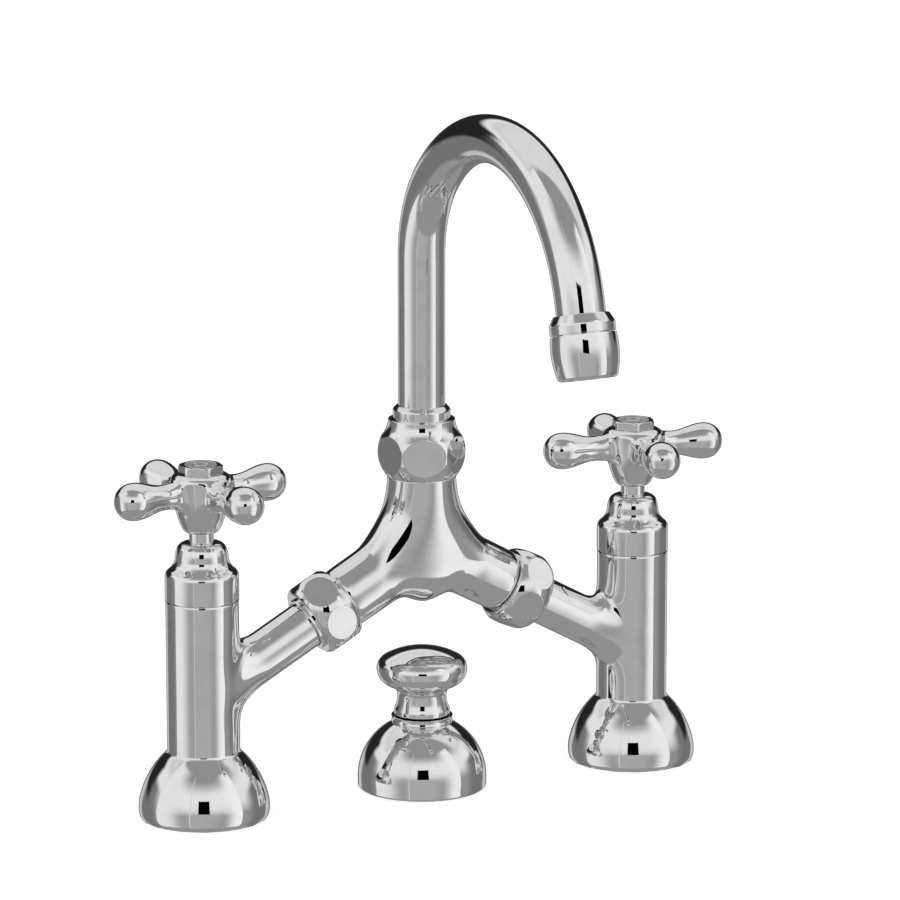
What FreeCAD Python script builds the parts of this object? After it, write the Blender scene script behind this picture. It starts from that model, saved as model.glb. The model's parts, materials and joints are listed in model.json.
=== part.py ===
import FreeCAD
import Part
import math
import os
import Sketcher
from types import SimpleNamespace

# Two-pillar bridge mixer with cross handles, a swan-neck spout and a pop-up lift knob.
# Millimetres and degrees. X runs along the pillars (hot at -X), the spout points to -Y,
# Z is up and the deck is the plane Z = 0. The origin lies midway between the pillars.

DIMENSIONS = {
    # Layout
    "pillar_spacing": 200.0,
    "branch_lift": 4.5,
    "branch_slope": 28.5,
    "running_clearance": 0.1,
    "seat_clearance": 0.05,
    "free_clearance": 0.3,
    # Pillar
    "foot_radius": 27.0,
    "foot_band": 6.0,
    "foot_edge": 1.2,
    "foot_dome_rise": 21.5,
    "foot_dome_arc": 36.0,
    "pillar_radius": 15.0,
    "pillar_height": 91.0,
    "spigot_radius": 13.0,
    "spigot_height": 5.0,
    "inlet_radius": 9.3,
    "inlet_depth": 20.0,
    "chamber_radius": 10.0,
    "chamber_floor": 28.0,
    "gasket_inner": 19.0,
    "gasket_outer": 24.0,
    "gasket_thickness": 1.6,
    # Side branch and union
    "branch_radius": 10.0,
    "branch_bore": 6.5,
    "branch_fillet_top": 4.5,
    "branch_land": 10.0,
    "ring_setback": 2.3,
    "ring_thickness": 2.5,
    "ring_depth": 1.2,
    "ring_outer": 11.4,
    "ring_gap": 2.0,
    "union_washer_thickness": 2.0,
    "union_nut_length": 18.5,
    "union_nut_collar": 11.8,
    "union_nut_collar_length": 1.6,
    "union_nut_lip": 3.5,
    "union_nut_end": 14.4,
    "union_nut_bulge": 17.2,
    "union_nut_arc": 14.2,
    "union_nut_flats": 31.0,
    "hot_union_nut_turn": 6.0,
    "cold_union_nut_turn": 39.0,
    "union_thread": 11.6,
    # Feed tube and ceramic cartridge
    "riser_radius": 7.0,
    "riser_bore": 5.4,
    "seat_drop": 15.0,
    "seat_radius": 9.0,
    "seat_flange": 3.0,
    "seal_thickness": 2.0,
    "disc_radius": 8.3,
    "disc_thickness": 3.0,
    "disc_port": 2.1,
    "disc_port_offset": 4.6,
    "drive_slot_depth": 1.5,
    "drive_tongue_width": 3.0,
    "drive_tongue_length": 10.0,
    "drive_shank": 4.0,
    "sleeve_radius": 9.7,
    "window_width": 7.0,
    "window_height": 5.0,
    "shank_radius": 10.45,
    "shank_length": 15.0,
    "ceiling_rise": 3.0,
    "cartridge_washer_thickness": 1.5,
    "hexagon_flats": 22.4,
    "hexagon_height": 3.0,
    "neck_radius": 8.0,
    "neck_height": 9.5,
    # Spindle
    "spindle_radius": 5.1,
    "spindle_collar": 7.8,
    "spindle_collar_height": 2.9,
    "seal_section": 0.65,
    "seal_groove": 1.3,
    "lower_seal_rise": 6.0,
    "seal_pitch": 13.0,
    "circlip_thickness": 1.0,
    "circlip_depth": 0.8,
    "circlip_radius": 7.0,
    "circlip_gap": 3.0,
    "spindle_square": 6.6,
    "spindle_square_length": 10.0,
    # Bonnet
    "bonnet_radius": 15.2,
    "bonnet_band": 9.8,
    "bonnet_shoulder_radius": 14.35,
    "bonnet_shoulder": 2.4,
    "bonnet_shoulder_arc": 4.0,
    "bonnet_cone_radius": 12.6,
    "bonnet_cone": 2.0,
    "bonnet_waist_radius": 11.0,
    "bonnet_waist": 3.3,
    "bonnet_waist_arc": 5.5,
    "bonnet_height": 24.2,
    "bonnet_crown_radius": 10.2,
    "bonnet_crown": 2.6,
    "bonnet_crown_arc": 3.9,
    "bonnet_crown_side_arc": 11.0,
    "bonnet_eye": 0.9,
    "bonnet_roof": 3.2,
    "bonnet_wall": 1.9,
    # Cross handle
    "handle_gap": 4.4,
    "handle_skirt": 7.4,
    "handle_skirt_edge": 1.2,
    "handle_skirt_depth": 1.6,
    "hub_swell_arc": 45.0,
    "hub_radius": 12.4,
    "hub_belt": 4.2,
    "hub_cap": 7.9,
    "hub_shoulder_arc": 4.0,
    "hub_top_radius": 9.7,
    "arm_rise": 16.4,
    "arm_root_radius": 6.6,
    "arm_root_arc": 100.0,
    "arm_swell_arc": 34.0,
    "arm_neck_radius": 5.1,
    "arm_neck_distance": 17.5,
    "ball_distance": 32.4,
    "ball_radius": 7.85,
    "ball_neck_angle": 68.0,
    "hot_handle_angle": 9.0,
    "cold_handle_angle": -7.0,
    "screw_radius": 1.95,
    "screw_length": 9.0,
    "screw_head_radius": 3.6,
    "screw_head_height": 2.6,
    "screw_web": 2.0,
    "screw_tip": 0.5,
    "button_plug_radius": 6.6,
    "button_plug_depth": 4.0,
    "button_radius": 9.2,
    "button_flats": 16.6,
    "button_turn": 18.0,
    "button_height": 3.5,
    "button_rim": 2.2,
    "button_recess": 0.5,
    "button_bevel": 0.5,
    # Bridge
    "bridge_neck_rise": 28.7,
    "bridge_arm_run": 42.3,
    "bridge_neck_radius": 14.3,
    "bridge_arm_radius": 13.1,
    "bridge_belly_radius": 14.0,
    "bridge_belly_drop": 8.2,
    "bridge_bore": 7.5,
    "bridge_thread": 13.2,
    "bridge_thread_height": 14.0,
    "spout_socket": 9.8,
    "spout_socket_rise": 9.7,
    # Spout nut, bearing rings and ferrule
    "spout_nut_height": 24.4,
    "spout_nut_foot": 14.3,
    "spout_nut_bulge": 18.3,
    "spout_nut_bulge_height": 10.6,
    "spout_nut_shoulder": 16.8,
    "spout_nut_shoulder_height": 6.3,
    "spout_nut_arc": 16.1,
    "spout_nut_shoulder_arc": 14.0,
    "spout_nut_flare": 12.0,
    "spout_nut_top": 13.9,
    "spout_nut_flats": 32.0,
    "spout_nut_turn": -22.0,
    "spout_nut_lip": 4.5,
    "bearing_ring": 1.0,
    "ferrule_flange": 12.9,
    "ferrule_collar": 12.0,
    "ferrule_collar_height": 5.6,
    "ferrule_chamfer": 1.6,
    "ferrule_bore": 7.0,
    "ferrule_tail": 28.0,
    "spout_seal_section": 0.95,
    "spout_seal_groove": 1.9,
    "spout_seal_pitch": 12.0,
    # Spout tube and outlet
    "tube_radius": 9.8,
    "tube_wall": 1.3,
    "tube_seat": 12.0,
    "riser_run": 62.0,
    "first_bend_radius": 50.0,
    "first_bend_angle": 44.0,
    "second_bend_radius": 73.0,
    "second_bend_angle": 122.0,
    "tube_tail": 3.2,
    "socket_overlap": 4.0,
    "socket_radius": 13.0,
    "socket_flare": 3.6,
    "socket_band": 3.8,
    "socket_land": 1.2,
    "aerator_radius": 13.5,
    "aerator_outlet_radius": 11.6,
    "aerator_length": 18.0,
    "aerator_wall": 1.6,
    "aerator_thread": 11.0,
    "aerator_thread_length": 5.0,
    "aerator_shoulder_arc": 36.5,
    "aerator_arc": 39.0,
    "aerator_gasket": 1.5,
    "insert_recess": 1.0,
    "insert_wall": 1.2,
    "insert_floor": 2.0,
    "jet_radius": 0.9,
    "jet_pitch": 3.0,
    # Pop-up lift
    "popup_radius": 27.0,
    "popup_band": 2.4,
    "popup_dome_rise": 24.9,
    "popup_dome_arc": 26.0,
    "popup_wall": 3.0,
    "popup_roof": 1.5,
    "popup_collar_radius": 13.0,
    "popup_collar_height": 3.5,
    "popup_gasket_inner": 19.0,
    "popup_rod_radius": 3.0,
    "popup_bush_radius": 5.0,
    "popup_bush_length": 12.0,
    "rod_foot": 2.0,
    "knob_gap": 0.5,
    "knob_foot_radius": 11.75,
    "knob_foot_band": 2.0,
    "knob_neck_radius": 10.3,
    "knob_neck_height": 8.0,
    "knob_neck_arc": 13.0,
    "knob_flare_radius": 13.1,
    "knob_flare_height": 12.2,
    "knob_flare_arc": 4.6,
    "knob_under_arc": 7.5,
    "knob_rim_arc": 5.7,
    "knob_crown_radius": 15.8,
    "knob_crown_height": 5.1,
    "knob_cap_radius": 19.0,
    "knob_cap_height": 19.5,
    "knob_height": 28.6,
    "knob_socket": 14.0,
    "set_screw_radius": 1.5,
    "set_screw_length": 6.0,
    "set_screw_height": 5.5,
}

document = FreeCAD.newDocument("BridgeMixer")
UP = FreeCAD.Vector(0, 0, 1)
ALONG_X = FreeCAD.Vector(1, 0, 0)
ALONG_Y = FreeCAD.Vector(0, 1, 0)


class Size:
    """A length, angle or ratio that carries its number and the sheet expression behind it."""

    def __init__(self, value, text):
        self.value = value
        self.text = text

    def __add__(self, other):
        other = as_size(other)
        return Size(self.value + other.value, f"({self.text} + {other.text})")

    def __radd__(self, other):
        return as_size(other) + self

    def __sub__(self, other):
        other = as_size(other)
        return Size(self.value - other.value, f"({self.text} - {other.text})")

    def __rsub__(self, other):
        return as_size(other) - self

    def __mul__(self, other):
        other = as_size(other)
        return Size(self.value * other.value, f"({self.text} * {other.text})")

    def __rmul__(self, other):
        return as_size(other) * self

    def __truediv__(self, other):
        other = as_size(other)
        return Size(self.value / other.value, f"({self.text} / {other.text})")


def as_size(item):
    """A Size as it is, or a plain number as a Size of its own."""
    if isinstance(item, Size):
        return item
    return Size(float(item), f"({float(item)})")


def sine(angle):
    return Size(math.sin(math.radians(angle.value)), f"sin({angle.text})")


def cosine(angle):
    return Size(math.cos(math.radians(angle.value)), f"cos({angle.text})")


def tangent(angle):
    return Size(math.tan(math.radians(angle.value)), f"tan({angle.text})")


def square_root(size):
    return Size(math.sqrt(size.value), f"sqrt({size.text})")


def fill_sheet():
    """Write the driving dimensions into the sheet and return them as Sizes."""
    sheet = document.addObject("Spreadsheet::Sheet", "Sizes")
    sizes = {}
    for row, (name, number) in enumerate(DIMENSIONS.items(), start=1):
        sheet.set(f"A{row}", name)
        sheet.set(f"B{row}", str(number))
        sheet.setAlias(f"B{row}", name)
        sizes[name] = Size(number, f"Sizes.{name}")
    document.recompute()
    return SimpleNamespace(**sizes)


d = fill_sheet()


def bind(item, path, size):
    """Tie one property to its sheet expression."""
    if isinstance(size, Size):
        item.setExpression(path, size.text)


def place(item, x=0, y=0, z=0, axis=UP, angle=0, path="Placement"):
    """Put an item at a point, turned about an axis, with both tied to the sheet."""
    numbers = [as_size(value).value for value in (x, y, z)]
    turn = FreeCAD.Rotation(axis, as_size(angle).value)
    setattr(item, path, FreeCAD.Placement(FreeCAD.Vector(*numbers), turn))
    for letter, value in zip("xyz", (x, y, z)):
        bind(item, f"{path}.Base.{letter}", value)
    bind(item, f"{path}.Rotation.Angle", angle)
    return item


def origin_plane(body, role):
    return next(plane for plane in body.Origin.OriginFeatures if plane.Role == role)


def arc_between(first, last, radius):
    """A minor arc from first to last: anticlockwise for a positive radius."""
    chord = last - first
    reach = math.sqrt(max(radius * radius - chord.Length ** 2 / 4, 0.0))
    side = FreeCAD.Vector(-chord.y, chord.x, 0).normalize()
    centre = (first + last) / 2 + side * math.copysign(reach, radius)
    start, end = (first, last) if radius > 0 else (last, first)
    angles = [math.atan2(point.y - centre.y, point.x - centre.x) for point in (start, end)]
    return Part.ArcOfCircle(Part.Circle(centre, UP, abs(radius)), *angles)


def draw(body, name, corners, plane="XZ_Plane", closed=True):
    """Sketch an outline on one of the body's planes.

    A corner is (x, y) or (x, y, radius): the radius makes the stretch that ends there an arc,
    anticlockwise when positive. Every corner and radius is tied to the sheet.
    """
    sketch = body.newObject("Sketcher::SketchObject", name)
    sketch.AttachmentSupport = (origin_plane(body, plane), [""])
    sketch.MapMode = "FlatFace"
    points = [FreeCAD.Vector(as_size(c[0]).value, as_size(c[1]).value, 0) for c in corners]
    count = len(corners) if closed else len(corners) - 1
    rules = []
    tied = []
    ends = []
    for index in range(count):
        target = (index + 1) % len(corners)
        radius = corners[target][2] if len(corners[target]) > 2 else None
        if radius is None:
            sketch.addGeometry(Part.LineSegment(points[index], points[target]), False)
            ends.append((1, 2))
        else:
            bend = as_size(radius).value
            sketch.addGeometry(arc_between(points[index], points[target], bend), False)
            ends.append((1, 2) if bend > 0 else (2, 1))
            size = radius if bend > 0 else 0 - radius
            rules.append(Sketcher.Constraint("Radius", index, abs(bend)))
            tied.append(size)
        fix_point(rules, tied, index, ends[-1][0], corners[index])
    if not closed:
        fix_point(rules, tied, count - 1, ends[-1][1], corners[-1])
    for index in range(count if closed else count - 1):
        after = (index + 1) % count
        rules.append(Sketcher.Constraint("Coincident", index, ends[index][1], after, ends[after][0]))
        tied.append(None)
    sketch.addConstraint(rules)
    for index, size in enumerate(tied):
        bind(sketch, f"Constraints[{index}]", size)
    return sketch


def fix_point(rules, tied, curve, end, corner):
    """Fix one end of a sketch curve at its corner's distances from the two axes."""
    for kind, axis, value in (("DistanceX", -2, corner[0]), ("DistanceY", -1, corner[1])):
        number = as_size(value).value
        if isinstance(value, Size):
            rules.append(Sketcher.Constraint(kind, -1, 1, curve, end, number))
        else:
            rules.append(Sketcher.Constraint("PointOnObject", curve, end, axis))
        tied.append(value)


def new_body(label):
    return document.addObject("PartDesign::Body", label)


def revolve(body, name, corners, axis="V_Axis"):
    """Turn an outline of (radius, height) corners about one of its sketch's axes."""
    sketch = draw(body, f"{name}_outline", corners)
    turn = body.newObject("PartDesign::Revolution", name)
    turn.Profile = sketch
    turn.ReferenceAxis = (sketch, [axis])
    turn.Angle = 360.0
    return turn


def turned(label, corners):
    """A body of one outline turned about its own Z axis."""
    body = new_body(label)
    revolve(body, f"{label}_turning", corners)
    return body


def ring(label, inner, outer, bottom, top):
    """A flat ring between two radii and two heights."""
    return turned(label, [(inner, bottom), (outer, bottom), (outer, top), (inner, top)])


def cylinder(name, radius, height, **where):
    item = document.addObject("Part::Cylinder", name)
    bind(item, "Radius", radius)
    bind(item, "Height", height)
    return place(item, **where)


def centred_box(name, length, width, height, bottom):
    """A box centred on the Z axis that stands on a given height."""
    item = document.addObject("Part::Box", name)
    bind(item, "Length", length)
    bind(item, "Width", width)
    bind(item, "Height", height)
    return place(item, x=length * -0.5, y=width * -0.5, z=bottom)


def hexagon(name, flats, height, bottom, turn=0):
    item = document.addObject("Part::Prism", name)
    item.Polygon = 6
    bind(item, "Circumradius", flats / square_root(as_size(3)))
    bind(item, "Height", height)
    return place(item, z=bottom, angle=turn)


def fuse(label, items):
    item = document.addObject("Part::MultiFuse", label)
    item.Shapes = items
    item.Refine = True
    return item


def cut(label, base, tool):
    item = document.addObject("Part::Cut", label)
    item.Base = base
    item.Tool = tool
    return item


def common(label, items):
    item = document.addObject("Part::MultiCommon", label)
    item.Shapes = items
    return item


def group(label, items):
    """Separate like solids kept together in one node."""
    item = document.addObject("Part::Compound", label)
    item.Links = items
    return item


def seal_rings(label, groove_radius, section, heights):
    """O-rings that lie on a groove's floor at the given heights."""
    rings = []
    for index, height in enumerate(heights):
        torus = document.addObject("Part::Torus", f"{label}_{index}")
        bind(torus, "Radius1", groove_radius + section)
        bind(torus, "Radius2", section)
        rings.append(place(torus, z=height))
    return group(label, rings)


def grooved_shaft(radius, bottom, top, grooves):
    """Outline corners of a shaft's side, upwards, with square grooves of (height, width, depth)."""
    corners = [(radius, bottom)]
    for height, width, depth in grooves:
        corners.append((radius, height - width / 2))
        corners.append((radius - depth, height - width / 2))
        corners.append((radius - depth, height + width / 2))
        corners.append((radius, height + width / 2))
    corners.append((radius, top))
    return corners


# Places shared by several pieces
half_spacing = d.pillar_spacing / 2
dome_top = d.foot_band + d.foot_dome_rise
branch_height = d.pillar_height / 2 + d.branch_lift
branch_wall = branch_height + d.pillar_radius * tangent(d.branch_slope)
under_corner = branch_wall - d.branch_radius / cosine(d.branch_slope)
under_fillet = (under_corner - dome_top - d.branch_land) * tangent((90 + d.branch_slope) / 2)
apex_height = branch_height + half_spacing * tangent(d.branch_slope)
half_span = half_spacing / cosine(d.branch_slope)
union_nut_finish = half_span - d.bridge_arm_run - d.free_clearance
union_nut_start = union_nut_finish - d.union_nut_length
ring_start = union_nut_start + d.union_nut_lip
branch_length = ring_start + d.ring_thickness + d.ring_setback
bridge_arm_finish = branch_length + d.union_washer_thickness
bridge_neck_height = apex_height + d.bridge_neck_rise
sleeve_bore = d.disc_radius + d.free_clearance
spigot_top = d.pillar_height + d.spigot_height
shank_bottom = spigot_top - d.shank_length
thread_floor = shank_bottom - d.free_clearance
seat_height = shank_bottom - d.seat_drop
fixed_disc_bottom = seat_height + d.seal_thickness
moving_disc_bottom = fixed_disc_bottom + d.disc_thickness + d.seat_clearance
moving_disc_top = moving_disc_bottom + d.disc_thickness
chamber_ceiling = shank_bottom + d.ceiling_rise
lower_seal_height = chamber_ceiling + d.lower_seal_rise
upper_seal_height = lower_seal_height + d.seal_pitch
hexagon_bottom = spigot_top + d.cartridge_washer_thickness
hexagon_top = hexagon_bottom + d.hexagon_height
neck_top = hexagon_top + d.neck_height
circlip_middle = neck_top + d.seat_clearance + d.circlip_thickness / 2
bonnet_top = d.pillar_height + d.bonnet_height
handle_bottom = bonnet_top + d.handle_gap
square_bottom = handle_bottom + d.handle_skirt_depth
square_top = square_bottom + d.spindle_square_length
arm_height = handle_bottom + d.arm_rise
hub_top = arm_height + d.hub_cap
screw_seat = square_top + d.screw_web
spindle_bore = d.spindle_radius + d.running_clearance
nut_bottom = bridge_neck_height
nut_top = nut_bottom + d.spout_nut_height
lower_ring_bottom = nut_bottom + d.bridge_thread_height
flange_bottom = lower_ring_bottom + d.bearing_ring + d.seat_clearance
upper_ring_top = nut_top - d.spout_nut_lip
upper_ring_bottom = upper_ring_top - d.bearing_ring
flange_top = upper_ring_bottom - d.seat_clearance
tail_radius = d.spout_socket - d.running_clearance
collar_top = nut_top + d.ferrule_collar_height
tube_bottom = collar_top - d.tube_seat
riser_top = collar_top + d.riser_run


class Side:
    """One pillar's name, which way it stands from the middle and how its handle and nut are turned."""

    def __init__(self, name, sign, handle_angle, nut_turn):
        self.name = name
        self.sign = sign
        self.handle_angle = handle_angle
        self.nut_turn = nut_turn
        self.x = half_spacing * sign

    def node(self, piece):
        return f"{self.name}_{piece}"

    def stand(self, item):
        """Put a piece on the pillar's axis with its local +X pointing to the middle."""
        return place(item, x=self.x, angle=0 if self.sign < 0 else 180)

    def turn(self, item):
        """Put a piece on the pillar's axis, turned with the handle."""
        return place(item, x=self.x, angle=self.handle_angle)

    def lay(self, item):
        """Put a piece on the sloping branch's axis, measured from the pillar's axis."""
        angle = (90 - d.branch_slope) * -self.sign
        return place(item, x=self.x, z=branch_height, axis=ALONG_Y, angle=angle)


def foot_outline(radius, band, edge):
    """The side of a domed foot from the deck up to the dome's start."""
    return [(radius - edge, 0), (radius, edge, edge), (radius, band)]


def pillar(side):
    """Foot, tube and sloping branch as one casting with its bores and the inlet thread."""
    casting = turned(side.node("casting"), [
        (0, 0), *foot_outline(d.foot_radius, d.foot_band, d.foot_edge),
        (d.pillar_radius, dome_top, d.foot_dome_arc),
        (d.pillar_radius, d.pillar_height), (d.spigot_radius, d.pillar_height),
        (d.spigot_radius, spigot_top), (0, spigot_top),
    ])
    groove = (ring_start + d.ring_thickness / 2, d.ring_thickness, d.ring_depth)
    branch = turned(side.node("branch"), [
        (0, 0), *grooved_shaft(d.branch_radius, 0, branch_length, [groove]), (0, branch_length),
    ])
    place(branch, z=branch_height, axis=ALONG_Y, angle=90 - d.branch_slope)
    joined = document.addObject("Part::Fuse", side.node("joined"))
    joined.Base = casting
    joined.Tool = branch
    document.recompute()
    blended = document.addObject("Part::Fillet", side.node("blended"))
    blended.Base = joined
    blended.Edges = branch_edges(joined.Shape)
    bores = turned(side.node("bores"), [
        (0, 0), (d.inlet_radius, 0), (d.inlet_radius, d.inlet_depth),
        (d.riser_radius + d.seat_clearance, d.inlet_depth),
        (d.riser_radius + d.seat_clearance, d.chamber_floor),
        (d.chamber_radius, d.chamber_floor), (d.chamber_radius, thread_floor),
        (d.shank_radius + d.seat_clearance, thread_floor),
        (d.shank_radius + d.seat_clearance, spigot_top), (0, spigot_top),
    ])
    branch_bore = cylinder(side.node("branch_bore"), d.branch_bore, branch_length, z=branch_height,
                           axis=ALONG_Y, angle=90 - d.branch_slope)
    gasket_seat = ring(side.node("gasket_seat"), d.gasket_inner, d.gasket_outer, 0, d.gasket_thickness)
    hollow = fuse(side.node("hollow"), [bores, branch_bore, gasket_seat])
    return side.stand(cut(side.node("pillar"), blended, hollow))


def branch_edges(shape):
    """The two halves of the seam between tube and branch, with their fillet radii top to bottom."""
    edges = []
    for index, edge in enumerate(shape.Edges, start=1):
        radii = {round(face.Surface.Radius, 4) for face in shape.ancestorsOfType(edge, Part.Face)
                 if isinstance(face.Surface, Part.Cylinder)}
        if radii == {round(d.pillar_radius.value, 4), round(d.branch_radius.value, 4)}:
            heights = [edge.valueAt(edge.ParameterRange[0]).z, edge.valueAt(edge.ParameterRange[1]).z]
            rising = heights[1] > heights[0]
            top, under = d.branch_fillet_top.value, under_fillet.value
            edges.append((index, under, top) if rising else (index, top, under))
    return edges


def inlet_parts(side):
    """Gasket under the foot, feed tube with the valve seat, and the seat's seal."""
    gasket = ring(side.node("base_gasket"), d.gasket_inner, d.gasket_outer, 0, d.gasket_thickness)
    seat_bottom = seat_height - d.seat_flange
    riser = turned(side.node("inlet_riser"), [
        (d.riser_bore, d.inlet_depth), (d.riser_radius, d.inlet_depth), (d.riser_radius, seat_bottom),
        (d.seat_radius, seat_bottom), (d.seat_radius, seat_height), (d.riser_bore, seat_height),
    ])
    seal = ring(side.node("seat_seal"), d.riser_bore, d.seat_radius - 2 * d.free_clearance,
                seat_height, fixed_disc_bottom)
    return [side.stand(item) for item in (gasket, riser, seal)]


def ported_disc(label, bottom, axis):
    """A ceramic disc with two round ports on one of its diameters."""
    blank = cylinder(f"{label}_blank", d.disc_radius, d.disc_thickness, z=bottom)
    ports = []
    for index, sign in enumerate((-1, 1)):
        offset = {axis: d.disc_port_offset * sign}
        ports.append(cylinder(f"{label}_port_{index}", d.disc_port, d.disc_thickness, z=bottom, **offset))
    return blank, ports


def fixed_disc(side):
    label = side.node("fixed_disc")
    blank, ports = ported_disc(label, fixed_disc_bottom, "x")
    return side.turn(cut(label, blank, fuse(f"{label}_ports", ports)))


def moving_disc(side):
    """The turning disc: closed at rest, with its ports a quarter turn from the fixed ones."""
    label = side.node("moving_disc")
    blank, ports = ported_disc(label, moving_disc_bottom, "y")
    slot = centred_box(f"{label}_slot", d.drive_tongue_length + 2 * d.running_clearance,
                       d.drive_tongue_width + 2 * d.running_clearance, d.drive_slot_depth,
                       moving_disc_top - d.drive_slot_depth)
    return side.turn(cut(label, blank, fuse(f"{label}_ports", [*ports, slot])))


def cartridge(side):
    """Headwork that screws into the pillar, with its side windows and hexagon, and its washer."""
    label = side.node("cartridge_body")
    sleeve_bottom = seat_height + d.free_clearance
    blank = turned(f"{label}_blank", [
        (0, sleeve_bottom), (d.sleeve_radius, sleeve_bottom), (d.sleeve_radius, shank_bottom),
        (d.shank_radius, shank_bottom), (d.shank_radius, hexagon_bottom),
        (d.neck_radius, hexagon_bottom), (d.neck_radius, neck_top), (0, neck_top),
    ])
    flats = hexagon(f"{label}_hexagon", d.hexagon_flats, d.hexagon_height, hexagon_bottom)
    bore = turned(f"{label}_bore", [
        (0, sleeve_bottom), (sleeve_bore, sleeve_bottom), (sleeve_bore, chamber_ceiling),
        (spindle_bore, chamber_ceiling), (spindle_bore, neck_top), (0, neck_top),
    ])
    windows = centred_box(f"{label}_windows", d.window_width, d.sleeve_radius * 3, d.window_height,
                          shank_bottom - d.window_height - d.free_clearance)
    solid = fuse(f"{label}_solid", [blank, flats])
    body = cut(label, solid, fuse(f"{label}_hollow", [bore, windows]))
    washer = ring(side.node("cartridge_washer"), d.shank_radius + d.seat_clearance,
                  d.spigot_radius - d.free_clearance, spigot_top, hexagon_bottom)
    return [side.stand(item) for item in (body, washer)]


def spindle(side):
    """Shaft from the moving disc's slot up to the square that carries the handle."""
    label = side.node("spindle")
    foot = moving_disc_top + d.seat_clearance
    collar_finish = chamber_ceiling - d.seat_clearance
    collar_start = collar_finish - d.spindle_collar_height
    seal_width = 2 * d.seal_section + d.free_clearance
    grooves = [
        (lower_seal_height, seal_width, d.seal_groove), (upper_seal_height, seal_width, d.seal_groove),
        (circlip_middle, d.circlip_thickness + 2 * d.seat_clearance, d.circlip_depth),
    ]
    shaft = turned(f"{label}_shaft", [
        (0, foot), (d.drive_shank, foot), (d.drive_shank, collar_start),
        (d.spindle_collar, collar_start), (d.spindle_collar, collar_finish),
        *grooved_shaft(d.spindle_radius, collar_finish, square_bottom, grooves), (0, square_bottom),
    ])
    tongue_height = d.drive_slot_depth - d.seat_clearance
    tongue = centred_box(f"{label}_tongue", d.drive_tongue_length, d.drive_tongue_width, tongue_height,
                         foot - tongue_height)
    square = centred_box(f"{label}_square", d.spindle_square, d.spindle_square, d.spindle_square_length,
                         square_bottom)
    hole = cylinder(f"{label}_hole", d.screw_radius + d.seat_clearance, d.screw_length,
                    z=square_top - d.screw_length + d.screw_web)
    solid = fuse(f"{label}_solid", [shaft, tongue, square])
    return side.turn(cut(label, solid, hole))


def open_ring(label, inner, outer, bottom, top, gap):
    """A flat ring sawn through at one place."""
    blank = ring(f"{label}_blank", inner, outer, bottom, top)
    saw = document.addObject("Part::Box", f"{label}_saw")
    bind(saw, "Length", outer)
    bind(saw, "Width", gap)
    bind(saw, "Height", top - bottom)
    place(saw, y=gap * -0.5, z=bottom)
    return cut(label, blank, saw)


def spindle_trim(side):
    """O-rings and circlip that ride on the spindle."""
    seals = seal_rings(side.node("spindle_seals"), d.spindle_radius - d.seal_groove, d.seal_section,
                       [lower_seal_height, upper_seal_height])
    clip = open_ring(side.node("spindle_circlip"), d.spindle_radius - d.circlip_depth + d.seat_clearance,
                     d.circlip_radius, circlip_middle - d.circlip_thickness / 2,
                     circlip_middle + d.circlip_thickness / 2, d.circlip_gap)
    return [side.turn(seals), side.turn(clip)]


def bonnet(side):
    """Stepped cover over the headwork: band, sloping shoulder, waist and rounded crown round the spindle."""
    band_top = d.pillar_height + d.bonnet_band
    shoulder_top = band_top + d.bonnet_shoulder
    cone_top = shoulder_top + d.bonnet_cone
    waist_top = cone_top + d.bonnet_waist
    cavity = d.bonnet_waist_radius - d.bonnet_wall
    skirt = d.spigot_radius + d.free_clearance
    hole = d.spindle_radius + d.free_clearance
    step = hexagon_top + d.free_clearance
    body = turned(side.node("bonnet"), [
        (skirt, d.pillar_height), (d.bonnet_radius, d.pillar_height),
        (d.bonnet_radius, band_top), (d.bonnet_shoulder_radius, shoulder_top, d.bonnet_shoulder_arc),
        (d.bonnet_cone_radius, cone_top), (d.bonnet_waist_radius, waist_top, 0 - d.bonnet_waist_arc),
        (d.bonnet_crown_radius, bonnet_top - d.bonnet_crown, d.bonnet_crown_side_arc),
        (hole + d.bonnet_eye, bonnet_top, d.bonnet_crown_arc), (hole, bonnet_top),
        (hole, bonnet_top - d.bonnet_roof), (cavity, bonnet_top - d.bonnet_roof), (cavity, step),
        (skirt, step),
    ])
    return side.stand(body)


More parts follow.
